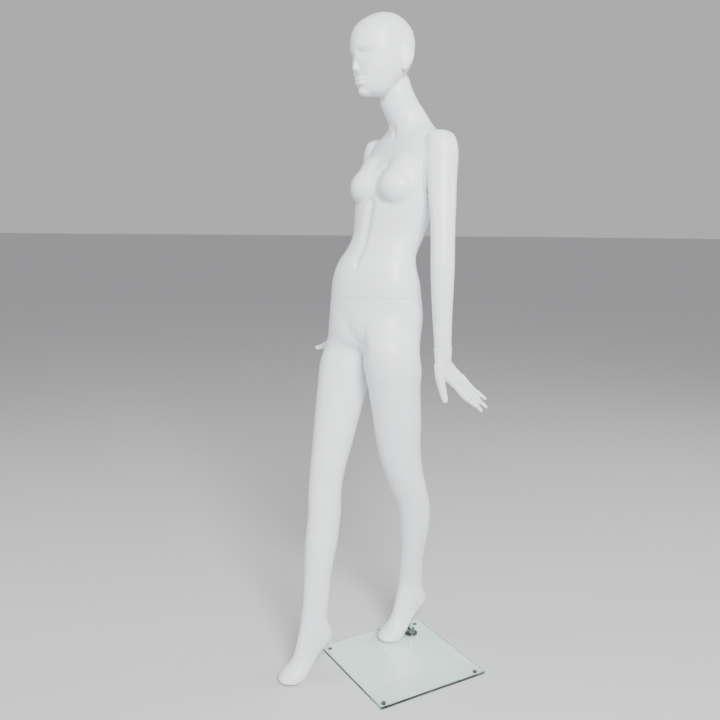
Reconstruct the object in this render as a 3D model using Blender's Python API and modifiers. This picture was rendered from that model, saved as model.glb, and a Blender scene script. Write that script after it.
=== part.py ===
"""Full body display mannequin on a square glass base.

A hollow glass-fibre figure that comes apart at the waist, the right thigh, the
shoulders and the wrists, and stands on a steel rod set into its left foot.
Metres, +Z up, origin on the floor below the middle of the figure.
The figure looks along -Y, so its left side is +X.
"""
import math

import bmesh
import bpy
from mathutils import Matrix, Vector

# ---------------------------------------------------------------- driving sizes
WALL = 0.004
GAP = 0.0003
FIT = 0.0004
PLATE = 0.008
PLATE_ROOM = 0.0026

WAIST_Z = 1.075
CHEST_YAW = 3
CHEST_CENTRE = Vector((0.0, 0.130, 1.436))
SHOULDER_SEAM = 0.127
UNHOOK = 0.022
THIGH_POINT = Vector((-0.080, 0.000, 0.912))
THIGH_NORMAL = Vector((0.16, 0.25, 1.0)).normalized()
WRIST_PLACE = {"left": (0.204, 0.118, 0.953), "right": (-0.220, 0.056, 0.998)}
WRIST_LEAN = {"left": 0, "right": -21}
HAND_BEND = {"left": 36, "right": 0}
PALM_PIVOT = (0.0, 0.002, -0.046)

POST_RADIUS = 0.0125
POST_HIGH = 0.048
COUPLING_FLANGE = 0.030
FLANGE_PLY = 0.003
SOCKET_WALL = 0.003
PIN_RADIUS = 0.004
PIN_OFFSET = 0.042
SCREW_RADIUS = 0.002
SCREW_OFFSET = 0.024
STUD_RADIUS = 0.004
STUD_HEAD = 0.0085
PEG_RADIUS = 0.005
PEG_HALF = 0.024

GLASS_SIDE = 0.350
GLASS_THICK = 0.008
GLASS_CENTRE = (0.072, 0.092)
BUMPER_HIGH = 0.004
BUMPER_RADIUS = 0.006
BUMPER_INSET = 0.022
GLASS_TOP = BUMPER_HIGH + GLASS_THICK
GASKET = 0.001
ROD_PLACE = (-0.032, 0.197)
ROD_RADIUS = 0.00635
SOCKET_BOTTOM = 0.072
SOCKET_TOP = 0.205
TUBE_RADIUS = 0.0085
BASE_FLANGE_RADIUS = 0.020
BASE_FLANGE_THICK = 0.0055
BOSS_RADIUS = 0.0105
BOSS_HIGH = 0.017
BOLT_RADIUS = 0.004
CALF_MOUTH = (-0.003, 0.2205, 0.328)
CALF_SLANT = math.radians(21)
CALF_TUBE = (0.026, 0.075)

COLUMNS = 22
INNER_COLUMNS = 14
ROUND = 18

# ---------------------------------------------------------------- sections of the figure
# A section: centre (x, y, z), yaw and tilt in degrees, half width, reach to the
# front, reach to the back, and squareness (2 is an ellipse).
PELVIS = [
    (0.000, 0.032, 1.100, 27, 0, 0.130, 0.082, 0.092, 2.2),
    (0.000, 0.032, 1.060, 29, 0, 0.133, 0.081, 0.096, 2.2),
    (0.000, 0.031, 1.020, 30, 0, 0.136, 0.080, 0.098, 2.2),
    (0.000, 0.027, 0.980, 30, 0, 0.139, 0.078, 0.100, 2.2),
    (0.000, 0.020, 0.945, 30, 0, 0.134, 0.070, 0.098, 2.2),
    (0.000, 0.018, 0.925, 30, 0, 0.105, 0.050, 0.088, 2.2),
    (0.000, 0.020, 0.912, 30, 0, 0.050, 0.024, 0.045, 2.2),
]
TORSO = [
    (0.000, 0.032, 1.060, 29, 0, 0.133, 0.081, 0.096, 2.2),
    (0.000, 0.032, 1.110, 27, 0, 0.129, 0.082, 0.090, 2.2),
    (0.000, 0.032, 1.140, 26, 0, 0.122, 0.078, 0.083, 2.2),
    (0.000, 0.037, 1.170, 24, 0, 0.1135, 0.073, 0.074, 2.2),
    (0.000, 0.052, 1.200, 22, 0, 0.1075, 0.067, 0.067, 2.2),
    (0.000, 0.068, 1.230, 20, 0, 0.108, 0.069, 0.067, 2.2),
    (0.000, 0.078, 1.260, 17, 0, 0.1135, 0.075, 0.070, 2.2),
    (0.000, 0.087, 1.300, 14, 0, 0.122, 0.082, 0.075, 2.2),
    (0.000, 0.096, 1.340, 11, 0, 0.130, 0.084, 0.078, 2.2),
    (0.000, 0.105, 1.380, 8, 0, 0.137, 0.083, 0.080, 2.2),
    (0.000, 0.115, 1.420, 5, 0, 0.142, 0.076, 0.078, 2.2),
    (0.000, 0.124, 1.450, 3, 0, 0.145, 0.067, 0.072, 2.3),
    (0.000, 0.130, 1.475, 3, 0, 0.144, 0.057, 0.062, 2.4),
    (0.000, 0.133, 1.492, 3, 0, 0.136, 0.050, 0.055, 2.3),
    (0.000, 0.134, 1.506, 3, 2, 0.118, 0.045, 0.051, 2.2),
    (0.000, 0.133, 1.520, 3, 8, 0.094, 0.044, 0.051, 2.1),
    (0.000, 0.126, 1.545, 2, 25, 0.062, 0.046, 0.053, 2.0),
    (0.000, 0.109, 1.573, 1, 33, 0.048, 0.046, 0.051, 2.0),
    (0.000, 0.093, 1.599, 0, 33, 0.0455, 0.047, 0.050, 2.0),
    (0.000, 0.081, 1.628, 0, 25, 0.044, 0.047, 0.049, 2.0),
    (0.000, 0.075, 1.655, 0, 10, 0.036, 0.038, 0.044, 2.0),
]
HEAD = [
    (0.000, 0.020, 1.6005, 0, 0, 0.018, 0.018, 0.020, 2.0),
    (0.000, 0.022, 1.607, 0, 0, 0.034, 0.034, 0.036, 2.0),
    (0.000, 0.028, 1.620, 0, 0, 0.046, 0.050, 0.048, 2.0),
    (0.000, 0.036, 1.640, 0, 0, 0.057, 0.064, 0.056, 2.0),
    (0.000, 0.044, 1.660, 0, 0, 0.065, 0.076, 0.064, 2.1),
    (0.000, 0.048, 1.685, 0, 0, 0.070, 0.084, 0.076, 2.1),
    (0.000, 0.048, 1.710, 0, 0, 0.073, 0.090, 0.084, 2.1),
    (0.000, 0.048, 1.735, 0, 0, 0.074, 0.090, 0.086, 2.1),
    (0.000, 0.048, 1.760, 0, 0, 0.071, 0.085, 0.081, 2.1),
    (0.000, 0.048, 1.783, 0, 0, 0.061, 0.069, 0.066, 2.1),
    (0.000, 0.049, 1.799, 0, 0, 0.045, 0.046, 0.045, 2.1),
    (0.000, 0.049, 1.808, 0, 0, 0.027, 0.026, 0.026, 2.1),
    (0.000, 0.049, 1.811, 0, 0, 0.010, 0.010, 0.010, 2.0),
]
LEFT_LEG = [
    (0.070, 0.030, 0.980, 30, 0, 0.058, 0.060, 0.066, 2.1),
    (0.078, 0.034, 0.940, 30, 0, 0.074, 0.074, 0.080, 2.1),
    (0.078, 0.043, 0.890, 30, 0, 0.077, 0.078, 0.081, 2.1),
    (0.073, 0.054, 0.820, 25, 0, 0.069, 0.072, 0.073, 2.1),
    (0.062, 0.071, 0.740, 20, 0, 0.066, 0.070, 0.070, 2.0),
    (0.051, 0.085, 0.660, 15, 0, 0.060, 0.064, 0.064, 2.0),
    (0.041, 0.107, 0.580, 10, 0, 0.055, 0.060, 0.058, 2.0),
    (0.033, 0.133, 0.520, 5, 0, 0.051, 0.056, 0.053, 2.0),
    (0.023, 0.157, 0.460, 0, 0, 0.047, 0.050, 0.050, 2.0),
    (0.012, 0.169, 0.400, 0, 0, 0.044, 0.045, 0.048, 2.0),
    (-0.001, 0.177, 0.340, 0, 0, 0.038, 0.040, 0.042, 2.0),
    (-0.015, 0.182, 0.280, 0, 0, 0.033, 0.036, 0.036, 2.0),
    (-0.027, 0.187, 0.225, 0, 0, 0.030, 0.035, 0.035, 2.0),
]
RIGHT_LEG = [
    (-0.070, 0.016, 0.980, 30, 0, 0.058, 0.060, 0.062, 2.1),
    (-0.078, 0.006, 0.940, 30, 0, 0.074, 0.074, 0.078, 2.1),
    (-0.079, -0.008, 0.890, 30, 0, 0.077, 0.076, 0.079, 2.1),
    (-0.074, -0.027, 0.820, 22, 0, 0.070, 0.072, 0.073, 2.1),
    (-0.065, -0.048, 0.740, 15, 0, 0.063, 0.067, 0.067, 2.0),
    (-0.055, -0.069, 0.660, 10, 0, 0.055, 0.059, 0.059, 2.0),
    (-0.046, -0.090, 0.580, 5, 0, 0.048, 0.052, 0.050, 2.0),
    (-0.038, -0.101, 0.520, 0, 0, 0.044, 0.049, 0.046, 2.0),
    (-0.031, -0.109, 0.460, 0, 0, 0.044, 0.046, 0.049, 2.0),
    (-0.024, -0.121, 0.400, 0, 0, 0.044, 0.045, 0.050, 2.0),
    (-0.017, -0.132, 0.340, 0, 0, 0.040, 0.042, 0.045, 2.0),
    (-0.010, -0.142, 0.280, 0, 0, 0.035, 0.038, 0.040, 2.0),
    (-0.003, -0.151, 0.225, 0, 0, 0.031, 0.035, 0.036, 2.0),
]
# The raised foot, seen from the ball of its own sole: sideways, backwards, up.
FOOT = [
    (0.000, 0.0430, 0.1660, 0, 0, 0.029, 0.0385, 0.0385, 2.0),
    (0.000, 0.0445, 0.1300, 0, -2, 0.029, 0.0470, 0.0470, 2.1),
    (0.000, 0.0425, 0.1070, 0, -3, 0.028, 0.0515, 0.0515, 2.1),
    (0.000, 0.0325, 0.0870, 0, -3, 0.027, 0.0475, 0.0475, 2.1),
    (0.000, 0.0195, 0.0680, 0, -3, 0.028, 0.0405, 0.0405, 2.1),
    (0.000, 0.0055, 0.0510, 0, -3, 0.030, 0.0370, 0.0370, 2.1),
    (0.000, -0.0075, 0.0370, 0, -5, 0.033, 0.0370, 0.0370, 2.2),
    (0.000, -0.0185, 0.0255, 0, -10, 0.035, 0.0370, 0.0370, 2.2),
    (0.000, -0.0290, 0.0150, 0, -16, 0.035, 0.0345, 0.0345, 2.2),
    (0.000, -0.0385, 0.0110, 0, -20, 0.033, 0.0275, 0.0275, 2.2),
    (0.000, -0.0500, 0.0100, 0, -24, 0.027, 0.0185, 0.0185, 2.2),
    (0.000, -0.0620, 0.0095, 0, -26, 0.015, 0.0090, 0.0090, 2.0),
]
SOLE_LOW = 0.0016
FOOT_PLACE = {
    "left": (-0.037, 0.151, GLASS_TOP + GAP - SOLE_LOW),
    "right": (0.003, -0.200, GAP - SOLE_LOW),
}
FOOT_YAW = {"left": 4, "right": 6}
LEFT_ARM = [
    (0.137, 0.136, 1.509, 3, 0, 0.016, 0.016, 0.016, 2.0),
    (0.139, 0.138, 1.502, 3, 0, 0.032, 0.030, 0.031, 2.0),
    (0.142, 0.139, 1.485, 3, 0, 0.041, 0.039, 0.040, 2.0),
    (0.146, 0.139, 1.455, 3, 0, 0.0445, 0.043, 0.044, 2.0),
    (0.151, 0.137, 1.420, 3, 0, 0.042, 0.042, 0.043, 2.0),
    (0.159, 0.133, 1.380, 3, 0, 0.038, 0.039, 0.040, 2.0),
    (0.175, 0.126, 1.320, 5, 0, 0.0345, 0.036, 0.036, 2.0),
    (0.190, 0.118, 1.260, 8, 0, 0.0315, 0.0325, 0.0325, 2.0),
    (0.197, 0.114, 1.220, 10, 0, 0.031, 0.032, 0.032, 2.0),
    (0.201, 0.112, 1.180, 13, 0, 0.031, 0.032, 0.032, 2.0),
    (0.204, 0.111, 1.120, 13, 0, 0.0295, 0.0305, 0.0305, 2.0),
    (0.205, 0.112, 1.050, 10, 0, 0.0265, 0.027, 0.027, 2.0),
    (0.205, 0.115, 0.990, 5, 0, 0.0235, 0.0245, 0.0245, 2.0),
    (0.204, 0.118, 0.953, 0, 0, 0.0215, 0.0230, 0.0230, 2.0),
]
RIGHT_ARM = [
    (-0.137, 0.122, 1.509, 3, 0, 0.016, 0.016, 0.016, 2.0),
    (-0.139, 0.123, 1.502, 3, 0, 0.032, 0.030, 0.031, 2.0),
    (-0.142, 0.124, 1.485, 3, 0, 0.041, 0.039, 0.040, 2.0),
    (-0.146, 0.125, 1.455, 3, 0, 0.0445, 0.043, 0.044, 2.0),
    (-0.151, 0.126, 1.420, 3, 3, 0.042, 0.042, 0.043, 2.0),
    (-0.160, 0.130, 1.380, 3, 6, 0.038, 0.039, 0.040, 2.0),
    (-0.180, 0.139, 1.320, 3, 8, 0.0345, 0.036, 0.036, 2.0),
    (-0.200, 0.147, 1.275, 2, 4, 0.0315, 0.0325, 0.0325, 2.0),
    (-0.212, 0.148, 1.238, 0, -4, 0.031, 0.033, 0.032, 2.0),
    (-0.217, 0.138, 1.195, 0, -14, 0.031, 0.032, 0.032, 2.0),
    (-0.220, 0.116, 1.140, 0, -20, 0.0295, 0.0305, 0.0305, 2.0),
    (-0.221, 0.088, 1.075, 0, -21, 0.0260, 0.0265, 0.0265, 2.0),
    (-0.220, 0.056, 0.998, 0, -21, 0.0215, 0.0230, 0.0230, 2.0),
]
# The hand hangs from its wrist seam: outwards, backwards, up.
CUFF = [
    (0.000, 0.000, -GAP, 0, 0, 0.0225, 0.0240, 0.0240, 2.0),
    (0.000, 0.001, -0.025, 0, 0, 0.0205, 0.0232, 0.0232, 2.0),
    (0.000, 0.002, -0.050, 0, 0, 0.0170, 0.0222, 0.0222, 2.0),
]
PALM = [
    (0.000, 0.000, 0.014, 0, 0, 0.0160, 0.0180, 0.0180, 2.1),
    (0.000, 0.000, 0.000, 0, 0, 0.0165, 0.0215, 0.0225, 2.1),
    (0.001, 0.000, -0.025, 0, 0, 0.0140, 0.0230, 0.0255, 2.2),
    (0.004, 0.004, -0.052, 0, 0, 0.0115, 0.0220, 0.0250, 2.3),
    (0.006, 0.008, -0.074, 0, 0, 0.0095, 0.0210, 0.0235, 2.4),
    (0.007, 0.010, -0.084, 0, 0, 0.0060, 0.0180, 0.0200, 2.3),
]
# Each digit: its joints from the palm to the tip, and its half thickness at each.
DIGITS = {
    "index": [(0.006, -0.005, -0.066, 0.0082), (0.012, -0.002, -0.110, 0.0075),
              (0.016, 0.006, -0.138, 0.0067), (0.018, 0.011, -0.157, 0.0050)],
    "middle": [(0.006, 0.007, -0.068, 0.0080), (0.014, 0.0095, -0.118, 0.0073),
               (0.019, 0.0125, -0.150, 0.0065), (0.021, 0.0155, -0.175, 0.0048)],
    "ring": [(0.006, 0.017, -0.066, 0.0078), (0.015, 0.020, -0.116, 0.0070),
             (0.020, 0.026, -0.148, 0.0063), (0.023, 0.0325, -0.176, 0.0047)],
    "little": [(0.005, 0.0255, -0.062, 0.0070), (0.014, 0.0295, -0.106, 0.0062),
               (0.020, 0.0370, -0.134, 0.0056), (0.023, 0.0430, -0.155, 0.0043)],
    "thumb": [(-0.001, -0.011, 0.002, 0.0150), (-0.002, -0.0285, -0.028, 0.0125),
              (-0.003, -0.0395, -0.060, 0.0094), (-0.003, -0.0485, -0.088, 0.0064)],
}

RIGHT_THUMB = [(-0.001, -0.011, 0.002, 0.0150), (-0.002, -0.032, -0.020, 0.0125),
               (-0.003, -0.0455, -0.047, 0.0094), (-0.003, -0.054, -0.073, 0.0064)]

# Rounded forms laid on the shells: centre, then half sizes across, forward and up.
HEAD_FORMS = {
    "nose": ((0.000, -0.034, 1.668), (0.010, 0.013, 0.017)),
    "mouth": ((0.000, -0.022, 1.644), (0.020, 0.012, 0.009)),
    "left_ear": ((0.071, 0.063, 1.693), (0.007, 0.017, 0.031)),
    "right_ear": ((-0.071, 0.063, 1.693), (0.007, 0.017, 0.031)),
}
CHEST_FORMS = {
    "left_breast": ((0.066, 0.063, 1.367), (0.056, 0.056, 0.055)),
    "right_breast": ((-0.052, 0.044, 1.367), (0.056, 0.056, 0.055)),
}
SEAT_FORMS = {
    "left_seat": ((0.030, 0.091, 0.955), (0.066, 0.050, 0.070)),
    "right_seat": ((-0.068, 0.036, 0.978), (0.064, 0.050, 0.058)),
}

# ---------------------------------------------------------------- finishes
FINISHES = {
    "matt white": ((0.86, 0.87, 0.87, 1.0), 0.42, 0.0),
    "clear glass": ((0.72, 0.86, 0.82, 1.0), 0.05, 0.0),
    "chrome": ((0.75, 0.75, 0.76, 1.0), 0.12, 1.0),
    "zinc steel": ((0.55, 0.55, 0.56, 1.0), 0.35, 1.0),
    "birch ply": ((0.58, 0.44, 0.28, 1.0), 0.60, 0.0),
    "black rubber": ((0.04, 0.04, 0.04, 1.0), 0.80, 0.0),
}


def finish(obj, name):
    """Give an object its own material."""
    colour, roughness, metallic = FINISHES[name]
    material = bpy.data.materials.new(obj.name)
    material.use_nodes = True
    shader = material.node_tree.nodes["Principled BSDF"]
    shader.inputs["Base Color"].default_value = colour
    shader.inputs["Roughness"].default_value = roughness
    shader.inputs["Metallic"].default_value = metallic
    obj.data.materials.append(material)


# ---------------------------------------------------------------- modelling helpers
def collection(name):
    group = bpy.data.collections.new(name)
    bpy.context.scene.collection.children.link(group)
    return group


def clear_scene():
    for obj in list(bpy.data.objects):
        bpy.data.objects.remove(obj)


def placed(mesh, name, group, frame):
    """Put a mesh into the collection at its frame, shaded smooth between its sharp edges."""
    obj = bpy.data.objects.new(name, mesh)
    group.objects.link(obj)
    obj.matrix_world = frame
    return obj


def from_bmesh(bm, name, group, frame=Matrix()):
    bmesh.ops.recalc_face_normals(bm, faces=bm.faces)
    mesh = bpy.data.meshes.new(name)
    bm.to_mesh(mesh)
    bm.free()
    mesh.shade_smooth()
    mesh.set_sharp_from_angle(angle=math.radians(40))
    return placed(mesh, name, group, frame)


def as_cutter(obj):
    obj.hide_render = True
    obj.display_type = "WIRE"
    return obj


def boolean(obj, other, operation="DIFFERENCE", solver="EXACT"):
    """Cut, join or trim obj with the other object, which stays as a guide."""
    modifier = obj.modifiers.new(other.name, "BOOLEAN")
    modifier.operation = operation
    modifier.solver = solver
    modifier.object = as_cutter(other)


def section_ring(section, columns, inset):
    """Points of one section, as a rounded oval turned by its yaw and tilt."""
    x, y, z, yaw, tilt, width, front, back, square = section
    turn = Matrix.Rotation(math.radians(yaw), 3, "Z") @ Matrix.Rotation(math.radians(tilt), 3, "X")
    points = []
    for step in range(columns):
        angle = math.tau * step / columns
        across = math.copysign(abs(math.cos(angle)) ** (2 / square), math.cos(angle))
        along = math.copysign(abs(math.sin(angle)) ** (2 / square), math.sin(angle))
        depth = front if along < 0 else back
        local = Vector(((width - inset) * across, (depth - inset) * along, 0.0))
        points.append(Vector((x, y, z)) + turn @ local)
    return points


def skin(bm, rings):
    """Close a stack of rings with side faces and two end faces."""
    rows = [[bm.verts.new(point) for point in ring] for ring in rings]
    for lower, upper in zip(rows, rows[1:]):
        for step in range(len(lower)):
            after = (step + 1) % len(lower)
            bm.faces.new((lower[step], lower[after], upper[after], upper[step]))
    bm.faces.new(rows[0])
    bm.faces.new(rows[-1])


def loft(name, group, sections, inset=0.0, frame=Matrix(), columns=COLUMNS, mirror=1):
    """A closed solid through the sections; mirror is -1 for the other hand."""
    bm = bmesh.new()
    skin(bm, [section_ring(section, columns, inset) for section in sections])
    bmesh.ops.scale(bm, vec=(mirror, 1, 1), verts=bm.verts)
    return from_bmesh(bm, name, group, frame)


def digit(name, group, joints, frame, mirror, columns=10):
    """A finger: a tapered tube through its joints with a rounded tip."""
    points = [Vector(joint[:3]) for joint in joints]
    sizes = [joint[3] for joint in joints]
    points.append(points[-1] + (points[-1] - points[-2]).normalized() * sizes[-1] * 0.8)
    sizes.append(sizes[-1] * 0.45)
    corners = [math.tau * step / columns for step in range(columns)]
    rings = []
    for step, (point, size) in enumerate(zip(points, sizes)):
        ahead = points[min(step + 1, len(points) - 1)] - points[max(step - 1, 0)]
        turn = Vector((0, 0, -1)).rotation_difference(ahead)
        rings.append([point + turn @ Vector((size * math.cos(a), size * math.sin(a), 0)) for a in corners])
    bm = bmesh.new()
    skin(bm, rings)
    bmesh.ops.scale(bm, vec=(mirror, 1, 1), verts=bm.verts)
    return from_bmesh(bm, name, group, frame)


def rounded_forms(obj, forms, group, columns=14, rows=8):
    """Add each rounded form to the shell."""
    for name, (centre, sizes) in forms.items():
        bm = bmesh.new()
        size = Matrix.Diagonal((*sizes, 1.0))
        bmesh.ops.create_uvsphere(bm, u_segments=columns, v_segments=rows, radius=1.0, matrix=size)
        form = from_bmesh(bm, f"cut_{name}", group, Matrix.Translation(centre))
        boolean(obj, form, "UNION")


def box(name, group, size, frame):
    bm = bmesh.new()
    bmesh.ops.create_cube(bm, size=1.0, matrix=Matrix.Diagonal((*size, 1.0)))
    return from_bmesh(bm, name, group, frame)


def cylinder(name, group, radius, low, high, frame, sides=ROUND):
    """A round bar along the frame's own Z, from low to high."""
    bm = bmesh.new()
    middle = Matrix.Translation((0, 0, (low + high) / 2))
    bmesh.ops.create_cone(bm, cap_ends=True, segments=sides, radius1=radius, radius2=radius,
                          depth=high - low, matrix=middle)
    return from_bmesh(bm, name, group, frame)


def turned(name, group, profile, frame, sides=ROUND, ring=False):
    """A piece turned about the frame's own Z.

    The profile's (radius, height) points run down the outer side. A solid piece
    starts and ends on the axis, and a ring's profile closes on itself.
    """
    mesh = bpy.data.meshes.new(name)
    last = len(profile) - 1
    edges = [(point, point + 1) for point in range(last)]
    if ring:
        edges.append((last, 0))
    mesh.from_pydata([(radius, 0.0, height) for radius, height in profile], edges, [])
    obj = placed(mesh, name, group, frame)
    screw = obj.modifiers.new("turn", "SCREW")
    screw.steps = sides
    screw.render_steps = sides
    screw.use_merge_vertices = True
    screw.merge_threshold = 0.00001
    return obj


def tube(name, group, bore, outer, low, high, frame, sides=ROUND):
    profile = [(outer, high), (outer, low), (bore, low), (bore, high)]
    return turned(name, group, profile, frame, sides, ring=True)


def half_space(name, group, point, normal):
    """A large block whose face lies on the plane, on the side that the normal points to."""
    side = 1.6
    frame = plane_frame(point, normal) @ Matrix.Translation((0, 0, side / 2))
    return box(name, group, (side, side, side), frame)


def slab(name, group, frame, low, high):
    """A wide flat block across the frame's own Z, from low to high."""
    side = 0.40
    middle = frame @ Matrix.Translation((0, 0, (low + high) / 2))
    return box(name, group, (side, side, high - low), middle)


def plane_frame(point, normal):
    """A frame on a seam: Z along its normal."""
    turn = Vector((0, 0, 1)).rotation_difference(Vector(normal)).to_matrix().to_4x4()
    return Matrix.Translation(point) @ turn


# ---------------------------------------------------------------- frames of the seams
SIDES = {"left": 1, "right": -1}
CHEST_SIDE = Matrix.Rotation(math.radians(CHEST_YAW), 3, "Z") @ Vector((1, 0, 0))
WAIST_FRAME = Matrix.Translation((0.0, 0.036, WAIST_Z))
THIGH_FRAME = plane_frame(THIGH_POINT, THIGH_NORMAL)
ROD_FRAME = Matrix.Translation((*ROD_PLACE, 0.0))
CALF_FRAME = plane_frame(CALF_MOUTH, (0.0, -math.sin(CALF_SLANT), math.cos(CALF_SLANT)))
FLANGE_SEAT = GLASS_TOP + GASKET + 2 * GAP
SET_SCREW_FRAME = ROD_FRAME @ Matrix.Translation((0, 0, FLANGE_SEAT + 0.0125)) @ Matrix.Rotation(math.pi / 2, 4, "X")


def wrist_frame(side):
    lean = Matrix.Rotation(math.radians(WRIST_LEAN[side]), 4, "X")
    return Matrix.Translation(WRIST_PLACE[side]) @ lean


def shoulder_frame(side):
    """The shoulder seam's frame: Z outwards along the seam's normal, Y up."""
    out = CHEST_SIDE * SIDES[side]
    up = Vector((0, 0, 1))
    turn = Matrix((up.cross(out), up, out)).transposed().to_4x4()
    return Matrix.Translation(CHEST_CENTRE + out * SHOULDER_SEAM) @ turn


def foot_sections(side):
    """The foot's sections set down at its own place, for the end of a leg."""
    turn = Matrix.Rotation(math.radians(FOOT_YAW[side]), 3, "Z")
    sections = []
    for x, y, z, yaw, tilt, *rest in FOOT:
        centre = Vector(FOOT_PLACE[side]) + turn @ Vector((x, y, z))
        sections.append((*centre, yaw + FOOT_YAW[side], tilt, *rest))
    return sections


# ---------------------------------------------------------------- shells
def hollow_out(shell, name, sections, cutters):
    boolean(shell, loft(name, cutters, sections, inset=WALL, columns=INNER_COLUMNS))


def torso_head_shell(parts, cutters):
    shell = loft("torso_head_shell", parts, TORSO)
    boolean(shell, loft("cut_head", cutters, HEAD), "UNION")
    rounded_forms(shell, HEAD_FORMS, cutters)
    rounded_forms(shell, CHEST_FORMS, cutters)
    boolean(shell, half_space("cut_waist_down", cutters, (0, 0, WAIST_Z + GAP / 2), (0, 0, -1)))
    for side, sign in SIDES.items():
        out = CHEST_SIDE * sign
        seam = CHEST_CENTRE + out * (SHOULDER_SEAM - GAP / 2)
        boolean(shell, half_space(f"cut_{side}_shoulder", cutters, seam, out))
    hollow_out(shell, "cut_torso_hollow", TORSO[:-1], cutters)
    hollow_out(shell, "cut_head_hollow", HEAD[1:-1], cutters)
    finish(shell, "matt white")


def hips_left_leg_shell(parts, cutters):
    shell = loft("hips_left_leg_shell", parts, PELVIS)
    boolean(shell, loft("cut_left_leg", cutters, LEFT_LEG + foot_sections("left")), "UNION")
    stump = loft("cut_right_stump", cutters, RIGHT_LEG[:4])
    seam = THIGH_POINT + THIGH_NORMAL * GAP / 2
    boolean(stump, half_space("cut_below_stump", cutters, seam, -THIGH_NORMAL))
    boolean(shell, stump, "UNION")
    rounded_forms(shell, SEAT_FORMS, cutters)
    boolean(shell, half_space("cut_waist_up", cutters, (0, 0, WAIST_Z - GAP / 2), (0, 0, 1)))
    hollow_out(shell, "cut_pelvis_hollow", PELVIS[:-1], cutters)
    hollow_out(shell, "cut_left_leg_hollow", LEFT_LEG, cutters)
    hollow_out(shell, "cut_stump_hollow", RIGHT_LEG[:4], cutters)
    bore = TUBE_RADIUS + FIT
    boolean(shell, cylinder("cut_foot_bore", cutters, bore, GLASS_TOP, SOCKET_TOP + FIT, ROD_FRAME))
    boolean(shell, cylinder("cut_calf_bore", cutters, bore, -CALF_TUBE[1], CALF_TUBE[1], CALF_FRAME))
    finish(shell, "matt white")


def right_leg_shell(parts, cutters):
    shell = loft("right_leg_shell", parts, RIGHT_LEG + foot_sections("right"))
    seam = THIGH_POINT - THIGH_NORMAL * GAP / 2
    boolean(shell, half_space("cut_above_leg", cutters, seam, THIGH_NORMAL))
    hollow_out(shell, "cut_right_leg_hollow", RIGHT_LEG, cutters)
    finish(shell, "matt white")


def arm_shell(side, sections, parts, cutters):
    shell = loft(f"{side}_arm_shell", parts, sections, columns=18)
    out = CHEST_SIDE * SIDES[side]
    seam = CHEST_CENTRE + out * (SHOULDER_SEAM + GAP / 2)
    boolean(shell, half_space(f"cut_{side}_arm_seam", cutters, seam, -out))
    hollow_out(shell, f"cut_{side}_arm_hollow", sections[1:-1], cutters)
    reach = PEG_HALF + 0.004
    bore = PEG_RADIUS + 0.003
    boolean(shell, cylinder(f"cut_{side}_wrist_bore", cutters, bore, -reach, reach, wrist_frame(side)))
    finish(shell, "matt white")


def hand(side, parts, cutters):
    frame = wrist_frame(side)
    bend = Matrix.Rotation(math.radians(HAND_BEND[side]), 4, "X")
    palm_frame = frame @ Matrix.Translation(PALM_PIVOT) @ bend
    mirror = SIDES[side]
    body = loft(f"{side}_hand", parts, CUFF, frame=frame, columns=16, mirror=mirror)
    palm = loft(f"cut_{side}_palm", cutters, PALM, frame=palm_frame, columns=16, mirror=mirror)
    boolean(body, palm, "UNION")
    digits = DIGITS if side == "left" else {**DIGITS, "thumb": RIGHT_THUMB}
    for name, joints in digits.items():
        boolean(body, digit(f"cut_{side}_{name}", cutters, joints, palm_frame, mirror), "UNION")
    bore = PEG_RADIUS + FIT
    boolean(body, cylinder(f"cut_{side}_hand_bore", cutters, bore, -PEG_HALF - GAP, PEG_HALF, frame))
    finish(body, "matt white")


# ---------------------------------------------------------------- couplings inside the body
def coupling(name, frame, lower_loft, upper_loft, parts, cutters):
    """Two end plates, a spigot in a socket, a locating pin and the screws, on one seam."""
    plates = {}
    socket_outer = POST_RADIUS + SOCKET_WALL
    for seat, sections, low, hole in (
        ("lower", lower_loft, -PLATE - GAP / 2, POST_RADIUS + FIT),
        ("upper", upper_loft, GAP / 2, socket_outer + FIT),
    ):
        plate = slab(f"{name}_{seat}_plate", parts, frame, low, low + PLATE)
        inset = WALL + PLATE_ROOM
        mould = loft(f"cut_{name}_{seat}", cutters, sections, inset=inset, columns=INNER_COLUMNS)
        boolean(plate, mould, "INTERSECT")
        boolean(plate, cylinder(f"cut_{name}_{seat}_hole", cutters, hole, -0.02, 0.02, frame))
        finish(plate, "birch ply")
        plates[seat] = plate
    metals = {
        "lower": spigot(name, frame, parts, cutters),
        "upper": socket(name, frame, socket_outer, parts),
    }
    pin_frame = frame @ Matrix.Translation((PIN_OFFSET, 0, 0))
    pin = cylinder(f"{name}_locating_pin", parts, PIN_RADIUS, -PLATE, PLATE, pin_frame, sides=10)
    finish(pin, "zinc steel")
    for seat, plate in plates.items():
        bore = cylinder(f"cut_{name}_{seat}_pin", cutters, PIN_RADIUS + FIT, -0.02, 0.02, pin_frame, sides=10)
        boolean(plate, bore)
        coupling_screws(f"{name}_{seat}", frame, plate, metals[seat], parts, cutters)


def spigot(name, frame, parts, cutters):
    """The round post that stands up through both plates, on its flange below them."""
    under = -PLATE - GAP
    profile = [(0, POST_HIGH), (POST_RADIUS - 0.002, POST_HIGH), (POST_RADIUS, POST_HIGH - 0.002),
               (POST_RADIUS, under), (COUPLING_FLANGE, under), (COUPLING_FLANGE, under - FLANGE_PLY),
               (0, under - FLANGE_PLY)]
    post = turned(f"{name}_spigot", parts, profile, frame)
    finish(post, "zinc steel")
    return post


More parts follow.
